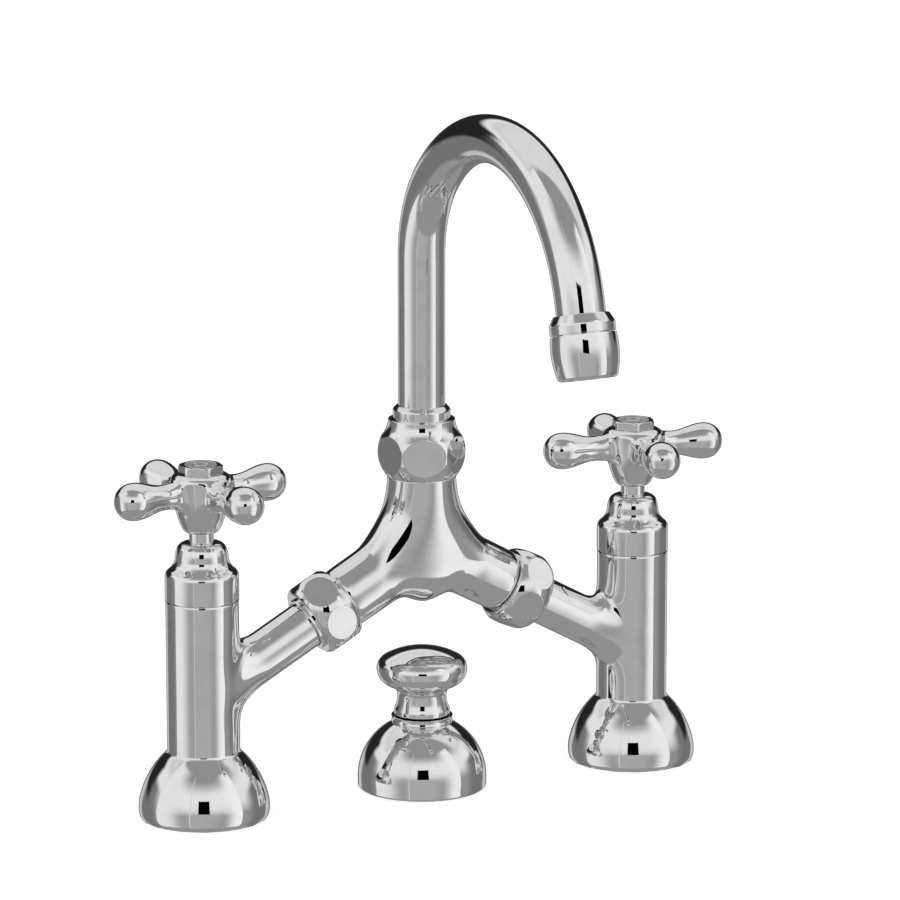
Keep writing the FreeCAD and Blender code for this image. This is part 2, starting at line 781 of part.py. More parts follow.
def handle(side):
    """Cross handle: a swelling hub with four necked arms that end in balls, bored for the spindle."""
    label = side.node("handle")
    body = new_body(f"{label}_forging")
    hub = revolve(body, f"{label}_hub", [
        (0, handle_bottom), (d.handle_skirt - d.handle_skirt_edge, handle_bottom),
        (d.handle_skirt, handle_bottom + d.handle_skirt_edge, d.handle_skirt_edge),
        (d.hub_radius, arm_height + d.hub_belt, d.hub_swell_arc),
        (d.hub_top_radius, hub_top, d.hub_shoulder_arc), (0, hub_top),
    ])
    ball_start = d.ball_distance - d.ball_radius * cosine(d.ball_neck_angle)
    ball_side = d.ball_radius * sine(d.ball_neck_angle)
    arm = revolve(body, f"{label}_arm", [
        (0, 0), (d.ball_distance + d.ball_radius, 0), (ball_start, ball_side, d.ball_radius),
        (d.arm_neck_distance, d.arm_neck_radius, 0 - d.arm_swell_arc),
        (0, d.arm_root_radius, 0 - d.arm_root_arc),
    ], axis="H_Axis")
    place(arm.Profile[0], y=arm_height, path="AttachmentOffset")
    document.recompute()
    arms = body.newObject("PartDesign::PolarPattern", f"{label}_arms")
    arms.Originals = [arm]
    arms.Axis = (hub.Profile[0], ["V_Axis"])
    arms.Angle = 360.0
    arms.Occurrences = 4
    body.Tip = arms
    fit = d.spindle_square + 2 * d.seat_clearance
    plug_floor = hub_top - d.button_plug_depth - d.seat_clearance
    hollow = [
        cylinder(f"{label}_skirt_bore", d.spindle_radius + d.free_clearance,
                 d.handle_skirt_depth + d.seat_clearance, z=handle_bottom),
        centred_box(f"{label}_square_bore", fit, fit, d.spindle_square_length, square_bottom),
        cylinder(f"{label}_screw_bore", d.screw_radius + d.running_clearance, d.screw_web, z=square_top),
        cylinder(f"{label}_head_bore", d.screw_head_radius + d.free_clearance, hub_top - screw_seat,
                 z=screw_seat),
        cylinder(f"{label}_plug_bore", d.button_plug_radius + d.seat_clearance,
                 d.button_plug_depth + d.seat_clearance, z=plug_floor),
    ]
    return side.turn(cut(label, body, fuse(f"{label}_hollow", hollow)))


def handle_fixings(side):
    """Screw that holds the handle, and the hexagonal button over it."""
    shank_end = screw_seat - d.screw_length + d.screw_tip
    screw = turned(side.node("handle_screw"), [
        (0, shank_end), (d.screw_radius, shank_end), (d.screw_radius, screw_seat),
        (d.screw_head_radius, screw_seat), (d.screw_head_radius, screw_seat + d.screw_head_height),
        (0, screw_seat + d.screw_head_height),
    ])
    label = side.node("index_button")
    plug_floor = hub_top - d.button_plug_depth
    rim = d.button_radius - d.button_rim
    blank = turned(f"{label}_blank", [
        (0, plug_floor), (d.button_plug_radius, plug_floor), (d.button_plug_radius, hub_top),
        (d.button_radius, hub_top), (d.button_radius, hub_top + d.button_height - d.button_bevel),
        (d.button_radius - d.button_bevel, hub_top + d.button_height),
        (rim, hub_top + d.button_height), (rim, hub_top + d.button_height - d.button_recess),
        (0, hub_top + d.button_height - d.button_recess),
    ])
    flats = hexagon(f"{label}_flats", d.button_flats, d.button_plug_depth + d.button_height, plug_floor,
                    turn=d.button_turn)
    return [side.turn(screw), side.turn(common(label, [blank, flats]))]


def union(side):
    """Collared hexagonal nut, the split ring that it pulls on, and the washer that it squeezes."""
    label = side.node("union_nut")
    collar = union_nut_start + d.union_nut_collar_length
    middle = (collar + union_nut_finish) / 2
    bore = d.union_thread + d.seat_clearance
    lip = d.branch_radius + d.free_clearance
    blank = turned(f"{label}_blank", [
        (lip, union_nut_start), (d.union_nut_collar, union_nut_start), (d.union_nut_collar, collar),
        (d.union_nut_end, collar), (d.union_nut_bulge, middle, d.union_nut_arc),
        (d.union_nut_end, union_nut_finish, d.union_nut_arc),
        (bore, union_nut_finish), (bore, ring_start), (lip, ring_start),
    ])
    flats = hexagon(f"{label}_flats", d.union_nut_flats, d.union_nut_length, union_nut_start,
                    turn=side.nut_turn)
    split = open_ring(side.node("union_ring"), d.branch_radius - d.ring_depth + d.seat_clearance, d.ring_outer,
                      ring_start, ring_start + d.ring_thickness, d.ring_gap)
    washer = ring(side.node("union_washer"), d.branch_bore, d.ring_outer, branch_length, bridge_arm_finish)
    return [side.lay(common(label, [blank, flats])), side.lay(split), side.lay(washer)]


def circle_sketch(body, name, radii, **offset):
    """Circles about one centre on the body's XY plane, moved and tilted by an offset."""
    sketch = body.newObject("Sketcher::SketchObject", name)
    sketch.AttachmentSupport = (origin_plane(body, "XY_Plane"), [""])
    sketch.MapMode = "FlatFace"
    for index, radius in enumerate(radii):
        sketch.addGeometry(Part.Circle(FreeCAD.Vector(), UP, radius.value), False)
        sketch.addConstraint(Sketcher.Constraint("Coincident", index, 3, -1, 1))
        number = sketch.addConstraint(Sketcher.Constraint("Radius", index, radius.value))
        bind(sketch, f"Constraints[{number}]", radius)
    return place(sketch, path="AttachmentOffset", **offset)


def bridge_arm(side):
    """One half of the bridge: the neck bent over into a sloping arm that thins to its shoulder."""
    body = new_body(side.node("arm_casting"))
    reach = bridge_neck_height - apex_height
    bend = reach / tangent((90 - d.branch_slope) / 2)
    bend_x = reach * cosine(d.branch_slope) * side.sign
    arm_x = d.bridge_arm_run * cosine(d.branch_slope) * side.sign
    arm_z = apex_height - d.bridge_arm_run * sine(d.branch_slope)
    path = draw(body, side.node("arm_path"), [
        (0, bridge_neck_height),
        (bend_x, apex_height - reach * sine(d.branch_slope), bend * side.sign), (arm_x, arm_z),
    ], closed=False)
    neck = circle_sketch(body, side.node("arm_neck"), [d.bridge_neck_radius], z=bridge_neck_height)
    shoulder = circle_sketch(body, side.node("arm_shoulder"), [d.bridge_arm_radius], x=arm_x, z=arm_z,
                             axis=ALONG_Y, angle=(90 + d.branch_slope) * side.sign)
    arm = body.newObject("PartDesign::AdditivePipe", side.node("arm_bend"))
    arm.Profile = neck
    arm.Spine = (path, ["Edge1", "Edge2"])
    arm.Sections = [(shoulder, [""])]
    arm.Transformation = "Multisection"
    half = document.addObject("Part::Box", side.node("arm_side"))
    bind(half, "Length", half_spacing)
    bind(half, "Width", d.pillar_spacing)
    bind(half, "Height", bridge_neck_height)
    place(half, x=half_spacing * ((side.sign - 1) / 2), y=0 - half_spacing)
    return common(side.node("arm_half"), [body, half])


def bridge():
    """Inverted Y of two arms on one round-bottomed neck, with its bores and threaded ends."""
    belly_top = bridge_neck_height - d.free_clearance
    belly_height = apex_height - d.bridge_belly_drop
    spout_socket_floor = apex_height + d.spout_socket_rise
    belly = turned("bridge_belly", [
        (0, belly_height - d.bridge_belly_radius),
        (d.bridge_belly_radius, belly_height, d.bridge_belly_radius),
        (d.bridge_belly_radius, belly_top), (0, belly_top),
    ])
    thread = cylinder("bridge_thread", d.bridge_thread, d.bridge_thread_height, z=nut_bottom)
    solids = [belly, thread]
    hollow = [cylinder("bridge_socket", d.spout_socket, lower_ring_bottom - spout_socket_floor,
                       z=spout_socket_floor)]
    for side in SIDES:
        thread_end = union_nut_finish + d.free_clearance
        solids.append(bridge_arm(side))
        solids.append(side.lay(turned(side.node("arm_thread"), [
            (0, bridge_arm_finish), (d.union_thread, bridge_arm_finish), (d.union_thread, thread_end),
            (0, thread_end),
        ])))
        hollow.append(side.lay(turned(side.node("arm_bore"), [
            (0, bridge_arm_finish), (d.bridge_bore, bridge_arm_finish), (d.bridge_bore, half_span),
            (0, half_span),
        ])))
    return cut("bridge_body", fuse("bridge_solid", solids), fuse("bridge_hollow", hollow))


def spout_seat():
    """Hexagonal nut over the neck and the two bearing rings round the spout's flange."""
    bore = d.bridge_thread + d.seat_clearance
    lip = d.ferrule_collar + d.free_clearance
    bulge = nut_bottom + d.spout_nut_bulge_height
    shoulder = bulge + d.spout_nut_shoulder_height
    blank = turned("spout_nut_blank", [
        (bore, nut_bottom), (d.spout_nut_foot, nut_bottom), (d.spout_nut_bulge, bulge, d.spout_nut_arc),
        (d.spout_nut_shoulder, shoulder, d.spout_nut_shoulder_arc),
        (d.spout_nut_top, nut_top, 0 - d.spout_nut_flare),
        (lip, nut_top), (lip, upper_ring_top), (bore, upper_ring_top),
    ])
    flats = hexagon("spout_nut_flats", d.spout_nut_flats, d.spout_nut_height, nut_bottom,
                    turn=d.spout_nut_turn)
    return [
        common("spout_nut", [blank, flats]),
        ring("spout_lower_ring", d.spout_socket + d.free_clearance, d.bridge_thread, lower_ring_bottom,
             lower_ring_bottom + d.bearing_ring),
        ring("spout_upper_ring", lip, d.bridge_thread, upper_ring_bottom, upper_ring_top),
    ]


def spout_tail():
    """Flanged ferrule on the tube's foot and the O-rings on its tail."""
    tail_bottom = flange_bottom - d.ferrule_tail
    middle = flange_bottom - d.ferrule_tail / 2
    heights = [middle - d.spout_seal_pitch / 2, middle + d.spout_seal_pitch / 2]
    width = 2 * d.spout_seal_section + d.free_clearance
    grooves = [(height, width, d.spout_seal_groove) for height in heights]
    socket = d.tube_radius + d.seat_clearance
    ferrule = turned("spout_ferrule", [
        (d.ferrule_bore, tail_bottom), *grooved_shaft(tail_radius, tail_bottom, flange_bottom, grooves),
        (d.ferrule_flange, flange_bottom), (d.ferrule_flange, flange_top), (d.ferrule_collar, flange_top),
        (d.ferrule_collar, collar_top - d.ferrule_chamfer),
        (d.ferrule_collar - d.ferrule_chamfer, collar_top), (socket, collar_top), (socket, tube_bottom),
        (d.ferrule_bore, tube_bottom),
    ])
    seals = seal_rings("spout_seals", tail_radius - d.spout_seal_groove, d.spout_seal_section, heights)
    return [ferrule, seals]


class Outlet:
    """The swan neck's path: its corners in (forward, up) and the frame at its mouth."""

    first = d.first_bend_angle
    total = d.first_bend_angle + d.second_bend_angle
    crown_y = 0 - d.first_bend_radius * (1 - cosine(first))
    crown_z = riser_top + d.first_bend_radius * sine(first)
    bend_y = crown_y - d.second_bend_radius * (cosine(first) - cosine(total))
    bend_z = crown_z + d.second_bend_radius * (sine(total) - sine(first))

    @classmethod
    def point(cls, distance):
        """A point on the outlet's axis, at a distance past the end of the second bend."""
        return cls.bend_y - distance * sine(cls.total), cls.bend_z + distance * cosine(cls.total)

    @classmethod
    def attach(cls, item):
        """Put a turned piece on the outlet's axis, measured from where its socket starts."""
        y, z = cls.point(d.tube_tail)
        return place(item, y=y, z=z, axis=ALONG_X, angle=cls.total)


def spout_tube():
    """Swan-neck tube: a straight riser, two bends and a short straight end in the socket."""
    body = new_body("spout_tube")
    path = draw(body, "spout_path", [
        (0, tube_bottom), (0, riser_top), (Outlet.crown_y, Outlet.crown_z, d.first_bend_radius),
        (Outlet.bend_y, Outlet.bend_z, d.second_bend_radius), Outlet.point(d.tube_tail + d.socket_overlap),
    ], plane="YZ_Plane", closed=False)
    walls = circle_sketch(body, "spout_walls", [d.tube_radius, d.tube_radius - d.tube_wall], z=tube_bottom)
    tube = body.newObject("PartDesign::AdditivePipe", "spout_bend")
    tube.Profile = walls
    tube.Spine = (path, ["Edge1", "Edge2", "Edge3", "Edge4"])
    return body


def outlet_parts():
    """Flared socket, aerator housing, its gasket and the insert that breaks up the jet."""
    bore = d.tube_radius - d.tube_wall
    grip = d.tube_radius + d.seat_clearance
    seam = d.socket_flare + d.socket_band
    thread_end = seam + d.aerator_thread_length
    socket = turned("spout_end_socket", [
        (grip, 0), (d.tube_radius + d.socket_land, 0), (d.socket_radius, d.socket_flare),
        (d.socket_radius, seam), (d.aerator_thread, seam), (d.aerator_thread, thread_end),
        (bore, thread_end), (bore, d.socket_overlap), (grip, d.socket_overlap),
    ])
    mouth = seam + d.aerator_length
    insert_radius = d.aerator_outlet_radius - d.aerator_wall
    lip = mouth - d.insert_recess
    gasket_end = thread_end + d.aerator_gasket
    thread = d.aerator_thread + d.seat_clearance
    housing = turned("aerator_housing", [
        (thread, seam), (d.socket_radius, seam),
        (d.aerator_radius, seam + d.aerator_length / 3, d.aerator_shoulder_arc),
        (d.aerator_outlet_radius, mouth, d.aerator_arc),
        (insert_radius - d.insert_wall, mouth), (insert_radius - d.insert_wall, lip),
        (insert_radius, lip), (insert_radius, gasket_end), (thread, gasket_end),
    ])
    gasket = ring("aerator_gasket", bore, d.aerator_thread, thread_end, gasket_end)
    blank_radius = insert_radius - d.seat_clearance
    blank = cylinder("aerator_insert_blank", blank_radius, lip - gasket_end, z=gasket_end)
    holes = [cylinder("aerator_insert_well", blank_radius - d.insert_wall,
                      lip - gasket_end - d.insert_floor, z=gasket_end)]
    for circle, count in ((1, 6), (2, 12)):
        for index in range(count):
            turn = as_size(360.0 * index / count)
            holes.append(cylinder(f"aerator_insert_jet_{circle}_{index}", d.jet_radius, lip - gasket_end,
                                  x=circle * d.jet_pitch * cosine(turn), y=circle * d.jet_pitch * sine(turn),
                                  z=gasket_end))
    insert = cut("aerator_insert", blank, fuse("aerator_insert_jets", holes))
    return [Outlet.attach(item) for item in (socket, housing, gasket, insert)]


def popup():
    """Domed base with gasket and guide bush, and the lift rod with its mushroom knob."""
    dome = d.popup_band + d.popup_dome_rise
    top = dome + d.popup_collar_height
    hole = d.popup_bush_radius + d.seat_clearance
    boss = d.popup_bush_radius + d.popup_wall
    inner = d.popup_radius - d.popup_wall
    boss_bottom = top - d.popup_bush_length
    base = turned("popup_base", [
        (inner, 0), *foot_outline(d.popup_radius, d.popup_band, d.foot_edge),
        (d.popup_collar_radius, dome, d.popup_dome_arc), (d.popup_collar_radius, top), (hole, top),
        (hole, boss_bottom), (boss, boss_bottom), (boss, dome - d.popup_roof),
        (inner, d.popup_band, d.popup_wall - d.popup_dome_arc),
    ])
    gasket = ring("popup_gasket", d.popup_gasket_inner, inner - d.seat_clearance, 0, d.gasket_thickness)
    slide = d.popup_rod_radius + d.running_clearance
    bush = ring("popup_bush", slide, d.popup_bush_radius, boss_bottom, top)
    foot = top + d.knob_gap
    rod_top = foot + d.knob_socket
    rod = turned("popup_rod", [
        (0, d.rod_foot), (d.popup_rod_radius, d.rod_foot), (d.popup_rod_radius, rod_top), (0, rod_top),
    ])
    grip = d.popup_rod_radius + d.seat_clearance
    cap = foot + d.knob_cap_height
    crown = d.knob_height - d.knob_cap_height - d.knob_crown_height
    crown_arc = (d.knob_crown_radius * d.knob_crown_radius + crown * crown) / (2 * crown)
    knob = turned("popup_knob_blank", [
        (grip, foot), (d.knob_foot_radius, foot), (d.knob_foot_radius, foot + d.knob_foot_band),
        (d.knob_neck_radius, foot + d.knob_neck_height, 0 - d.knob_neck_arc),
        (d.knob_flare_radius, foot + d.knob_flare_height, 0 - d.knob_flare_arc),
        (d.knob_cap_radius, cap, d.knob_under_arc),
        (d.knob_crown_radius, cap + d.knob_crown_height, d.knob_rim_arc),
        (0, foot + d.knob_height, crown_arc), (0, rod_top), (grip, rod_top),
    ])
    tap = cylinder("popup_knob_tap", d.set_screw_radius + d.seat_clearance, d.knob_foot_radius,
                   z=foot + d.set_screw_height, axis=ALONG_X, angle=-90)
    screw = cylinder("popup_set_screw", d.set_screw_radius, d.set_screw_length, y=grip,
                     z=foot + d.set_screw_height, axis=ALONG_X, angle=-90)
    return [base, gasket, bush, rod, cut("popup_knob", knob, tap), screw]


SIDES = [
    Side("hot", -1, d.hot_handle_angle, d.hot_union_nut_turn),
    Side("cold", 1, d.cold_handle_angle, d.cold_union_nut_turn),
]
NODES = []
for each in SIDES:
    NODES += [pillar(each), *inlet_parts(each), fixed_disc(each), moving_disc(each), *cartridge(each)]
    NODES += [spindle(each), *spindle_trim(each), bonnet(each), handle(each), *handle_fixings(each)]
    NODES += union(each)
NODES += [bridge(), *spout_seat(), *spout_tail(), spout_tube(), *outlet_parts(), *popup()]


def finish():
    """Recompute, refuse any failed piece and write each piece to its own file."""
    document.recompute()
    failed = [item.Label for item in document.Objects if {"Invalid", "Error"} & set(item.State)]
    for item in NODES:
        if item.Shape.isNull() or not item.Shape.isValid() or item.Shape.Volume <= 0:
            failed.append(item.Label)
    if failed:
        raise RuntimeError(f"pieces that failed: {sorted(set(failed))}")
    os.makedirs("parts", exist_ok=True)
    for item in NODES:
        item.Shape.exportStep(f"parts/{item.Label}.step")


finish()
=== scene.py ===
"""Looks of a bridge mixer tap with a pop-up lift knob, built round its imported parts.

Sizes are in millimetres and degrees until a piece is finished, when its mesh is brought to metres.
"""

import json
import logging
import math
from collections.abc import Iterable, Sequence
from dataclasses import dataclass
from enum import Enum
from typing import NamedTuple

import bmesh
import bpy
from bmesh.types import BMEdge, BMesh, BMVert
from mathutils import Matrix, Vector


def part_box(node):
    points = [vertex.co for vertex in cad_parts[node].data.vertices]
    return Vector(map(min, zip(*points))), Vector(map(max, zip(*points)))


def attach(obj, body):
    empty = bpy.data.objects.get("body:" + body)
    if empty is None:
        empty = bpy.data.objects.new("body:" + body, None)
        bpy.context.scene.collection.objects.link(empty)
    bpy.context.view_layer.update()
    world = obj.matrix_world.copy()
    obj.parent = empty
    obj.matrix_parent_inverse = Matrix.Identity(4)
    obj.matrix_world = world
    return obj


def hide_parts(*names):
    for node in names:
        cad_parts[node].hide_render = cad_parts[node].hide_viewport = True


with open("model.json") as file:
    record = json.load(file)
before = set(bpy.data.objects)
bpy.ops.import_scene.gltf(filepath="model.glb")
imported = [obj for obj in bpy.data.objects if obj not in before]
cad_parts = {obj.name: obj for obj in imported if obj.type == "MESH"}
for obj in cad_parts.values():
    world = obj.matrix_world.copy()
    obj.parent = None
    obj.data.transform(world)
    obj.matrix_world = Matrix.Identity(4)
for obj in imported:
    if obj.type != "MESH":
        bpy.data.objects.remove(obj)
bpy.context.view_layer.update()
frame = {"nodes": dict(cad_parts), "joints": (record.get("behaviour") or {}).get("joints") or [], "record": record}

LOG = logging.getLogger("bridge_mixer")
MM = 0.001
WELD = 0.001
TURN_STEPS = 128
ARC_STEP = 4.0
EASE_SEGMENTS = 4
CAGE_LEVELS = 4
RIM_SEGMENTS = 2
ROUND_PROFILE = 0.5
SAME_RADIUS = 0.01
SHARP_ANGLE = 32.0
NORMAL_WEIGHT = 100
QUARTER = 90.0
CREASE = "crease_edge"
WHITE = (1, 1, 1, 1)


class Side(Enum):
    """The two pillars, by the water that they carry."""

    HOT = "hot"
    COLD = "cold"

    def node(self, piece: str) -> str:
        """Name of this side's node of a piece."""
        return f"{self.value}_{piece}"

    @property
    def axis_x(self) -> float:
        """Where the pillar's axis stands along X."""
        turn = next(j for j in frame["joints"] if j["name"] == self.node("handle_turn"))
        return turn["pos_m"][0] / MM

    @property
    def stand(self) -> Matrix:
        """Puts a piece on the pillar's axis with its own +X towards the middle."""
        half_turn = 0.0 if self is Side.HOT else math.pi
        return Matrix.Translation((self.axis_x, 0, 0)) @ Matrix.Rotation(half_turn, 4, "Z")


def span(node: str) -> tuple[float, float]:
    """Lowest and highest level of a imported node, in millimetres."""
    low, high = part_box(node)
    return (low / MM).z, (high / MM).z


class Corner(NamedTuple):
    """A corner of a turned outline.

    An arc radius bends the stretch that ends here, anticlockwise when positive, and ease rounds the
    corner over that length of both its stretches.
    """

    radius: float
    height: float
    arc: float = 0.0
    ease: float = 0.0


def arc_centre(start: Vector, end: Vector, arc: float) -> Vector:
    """Find the centre of a minor arc in the XZ plane.

    Args:
        start: Where the arc starts.
        end: Where it ends.
        arc: Its radius, positive where it runs anticlockwise.

    Returns:
        The centre.
    """
    chord = end - start
    reach = math.sqrt(max(arc ** 2 - chord.length_squared / 4, 0))
    left = Vector((-chord.z, 0, chord.x)).normalized()
    return (start + end) / 2 + left * math.copysign(reach, arc)


class Lathe:
    """Turns an outline about Z and cuts flats on it."""

    def __init__(self, outline: Iterable[Sequence[float]], steps: int = TURN_STEPS,
                 closed: bool = True) -> None:
        """Draw the outline and turn it.

        Args:
            outline: Radius and height of each corner, with its arc and its ease where it has them.
            steps: Number of steps in the full turn.
            closed: Whether a straight stretch leads from the last corner to the first.
        """
        self.mesh: BMesh = bmesh.new()
        self.mesh.edges.layers.float.new(CREASE)
        self._draw([Corner(*row) for row in outline], closed)
        bmesh.ops.spin(self.mesh, geom=self.mesh.verts[:] + self.mesh.edges[:], cent=(0, 0, 0),
                       axis=(0, 0, 1), angle=math.tau, steps=steps, use_merge=True)
        weld(self.mesh)

    def _draw(self, corners: Sequence[Corner], closed: bool) -> None:
        """Draw the outline in the XZ plane and ease its corners.

        Args:
            corners: The outline's corners.
            closed: Whether it returns to the first one.
        """
        first = self.mesh.verts.new((corners[0].radius, 0, corners[0].height))
        eased = [(first, corners[0].ease)]
        for corner in corners[1:]:
            eased.append((self._stretch(eased[-1][0], corner), corner.ease))
        if closed:
            self.mesh.edges.new((eased[-1][0], first))
        for vertex, ease in eased:
            if ease:
                bmesh.ops.bevel(self.mesh, geom=[vertex], offset=ease, offset_type="OFFSET",
                                affect="VERTICES", segments=EASE_SEGMENTS, profile=ROUND_PROFILE,
                                material=-1)

    def _stretch(self, start: BMVert, corner: Corner) -> BMVert:
        """Draw one straight or bent stretch.

        Args:
            start: Vertex that the stretch starts from.
            corner: Corner that it ends at.

        Returns:
            The vertex at its end.
        """
        target = Vector((corner.radius, 0, corner.height))
        if not corner.arc:
            vertex = self.mesh.verts.new(target)
            self.mesh.edges.new((start, vertex))
            return vertex
        angle = 2 * math.asin(min(1.0, (target - start.co).length / 2 / abs(corner.arc)))
        steps = max(2, math.ceil(math.degrees(angle) / ARC_STEP))
        spun = bmesh.ops.spin(self.mesh, geom=[start], cent=arc_centre(start.co, target, corner.arc),
                              axis=(0, -math.copysign(1, corner.arc), 0), angle=angle, steps=steps)
        return next(item for item in spun["geom_last"] if isinstance(item, BMVert))

    def cut_flats(self, across: float, turn: float, ease: float, count: int = 6) -> None:
        """Plane spanner flats on the turned blank.

        Args:
            across: Distance between two flats that face each other.
            turn: Angle of the first flat from +X.
            ease: Rounding of the flats' rims.
            count: Number of flats.
        """
        rims: list[BMEdge] = []
        for index in range(count):
            angle = math.radians(turn) + math.tau * index / count
            normal = Vector((math.cos(angle), math.sin(angle), 0))
            blank = self.mesh.verts[:] + self.mesh.edges[:] + self.mesh.faces[:]
            made = bmesh.ops.bisect_plane(self.mesh, geom=blank, dist=WELD, plane_co=normal * across / 2,
                                          plane_no=normal, clear_outer=True)
            rim = [item for item in made["geom_cut"] if isinstance(item, BMEdge)]
            bmesh.ops.contextual_create(self.mesh, geom=rim)
            rims += rim
        rims = list(dict.fromkeys(edge for edge in rims if edge.is_valid))
        bmesh.ops.bevel(self.mesh, geom=rims, offset=ease, offset_type="OFFSET", affect="EDGES",
                        segments=RIM_SEGMENTS, profile=ROUND_PROFILE, material=-1)


def weld(mesh: BMesh) -> None:
    """Merge doubles and point the faces outwards.

    Args:
        mesh: The mesh to clean.
    """
    bmesh.ops.remove_doubles(mesh, verts=mesh.verts[:], dist=WELD)
    bmesh.ops.dissolve_degenerate(mesh, edges=mesh.edges[:], dist=WELD)
    bmesh.ops.recalc_face_normals(mesh, faces=mesh.faces[:])


def cage_radius(radius: float, sides: int) -> float:
    """Radius of a cage ring whose smooth surface has the given radius."""
    return radius * 3 / (2 + math.cos(math.tau / sides))


def cage_ring(mesh: BMesh, radius: float, place: Matrix, sides: int) -> list[BMEdge]:
    """Add one ring of a smooth cage.

    Args:
        mesh: Cage under construction.
        radius: Radius that the smooth surface gets there.
        place: Where the ring lies, square to its own Z.
        sides: Number of corners.

    Returns:
        The ring's edges.
    """
    made = bmesh.ops.create_circle(mesh, cap_ends=False, segments=sides, radius=cage_radius(radius, sides),
                                   matrix=place)
    return list({edge for vertex in made["verts"] for edge in vertex.link_edges})


def lean(share: float) -> Matrix:
    """Lean a ring over.

    Args:
        share: How far its +X side goes along its own Z, as a share of its reach.

    Returns:
        The shear that does it.
    """
    shear = Matrix.Identity(4)
    shear[2][0] = share
    return shear


def on_slope(height: float, slope: float, distance: float, sign: int = 1) -> Matrix:
    """Find a place on a sloping axis that starts on the Z axis.

    Args:
        height: Where the axis starts.
        slope: Its rise, in degrees.
        distance: How far along it the place lies.
        sign: 1 where it runs towards +X, -1 towards -X.

    Returns:
        The place, with its own Z along the axis.
    """
    rise = math.radians(slope)
    centre = (sign * distance * math.cos(rise), 0, height + distance * math.sin(rise))
    return Matrix.Translation(centre) @ Matrix.Rotation(sign * (math.pi / 2 - rise), 4, "Y")


def join_rings(mesh: BMesh, rings: Sequence[Sequence[BMEdge]]) -> None:
    """Span each ring, or open run of edges, to the next one."""
    for first, second in zip(rings, rings[1:]):
        bmesh.ops.bridge_loops(mesh, edges=[*first, *second])


def crease(mesh: BMesh, edges: Iterable[BMEdge], amount: float = 1.0) -> None:
    """Keep edges of a cage crisp.

    Args:
        mesh: The cage.
        edges: Which of its edges.
        amount: How crisp, up to 1.
    """
    layer = mesh.edges.layers.float[CREASE]
    for edge in edges:
        edge[layer] = amount


@dataclass(frozen=True)
class Wiring:
    """Adds nodes to one node tree and links them."""

    tree: bpy.types.NodeTree

    def fill(self, node: bpy.types.Node, inputs: dict[str | int, object]) -> bpy.types.Node:
        """Link or set a node's inputs.

        Args:
            node: A node of the tree.
            inputs: For each input a socket to link it to, or its value.

        Returns:
            The same node.
        """
        for key, value in inputs.items():
            if isinstance(value, bpy.types.NodeSocket):
                self.tree.links.new(value, node.inputs[key])
            else:
                node.inputs[key].default_value = value
        return node

    def add(self, kind: str, inputs: dict[str | int, object], **settings: object) -> bpy.types.Node:
        """Add a shader node.

        Args:
            kind: Its type.
            inputs: Sockets or values for its inputs.
            settings: Properties that are set first.

        Returns:
            The new node.
        """
        node = self.tree.nodes.new(f"ShaderNode{kind}")
        for name, value in settings.items():
            setattr(node, name, value)
        return self.fill(node, inputs)

    def calc(self, operation: str, *terms: bpy.types.NodeSocket | float) -> bpy.types.NodeSocket:
        """Add one sum of sockets and plain numbers, and give the socket with its result."""
        return self.add("Math", dict(enumerate(terms)), operation=operation).outputs["Value"]


class Effect(Enum):
    """Surface effects that several finishes share, each a node group."""

    HAZE = "surface_haze"
    RIPPLE = "polish_ripple"
    TOOL_MARKS = "tool_marks"

    @property
    def group(self) -> bpy.types.NodeTree:
        """The effect's node group, built on first use."""
        return bpy.data.node_groups.get(self.value) or build_effect(self)


WAVE_DISTORTION = 0.6
NOISE_DETAIL = {Effect.HAZE: 6.0, Effect.RIPPLE: 1.0}
NOISE_ROUGHNESS = 0.62
HAZE_START, HAZE_FULL = 0.42, 0.72


def build_effect(effect: Effect) -> bpy.types.NodeTree:
    """Build one effect as a node group that puts out a mask.

    Args:
        effect: Which effect to build.

    Returns:
        The new node group, with inputs Vector and Scale and an output Mask.
    """
    tree = bpy.data.node_groups.new(effect.value, "ShaderNodeTree")
    sockets = (("Vector", "INPUT", "Vector"), ("Scale", "INPUT", "Float"), ("Mask", "OUTPUT", "Float"))
    for name, way, kind in sockets:
        tree.interface.new_socket(name, in_out=way, socket_type=f"NodeSocket{kind}")
    wiring = Wiring(tree)
    entry = tree.nodes.new("NodeGroupInput").outputs
    inputs = {"Vector": entry["Vector"], "Scale": entry["Scale"]}
    if effect is Effect.TOOL_MARKS:
        inputs["Distortion"] = WAVE_DISTORTION
        mask = wiring.add("TexWave", inputs, wave_type="BANDS", bands_direction="Z").outputs["Fac"]
    else:
        inputs |= {"Detail": NOISE_DETAIL[effect], "Roughness": NOISE_ROUGHNESS}
        mask = wiring.add("TexNoise", inputs).outputs["Fac"]
    if effect is Effect.HAZE:
        inputs = {"Value": mask, "From Min": HAZE_START, "From Max": HAZE_FULL}
        mask = wiring.add("MapRange", inputs, interpolation_type="SMOOTHSTEP").outputs["Result"]
    wiring.fill(tree.nodes.new("NodeGroupOutput"), {"Mask": mask})
    return tree


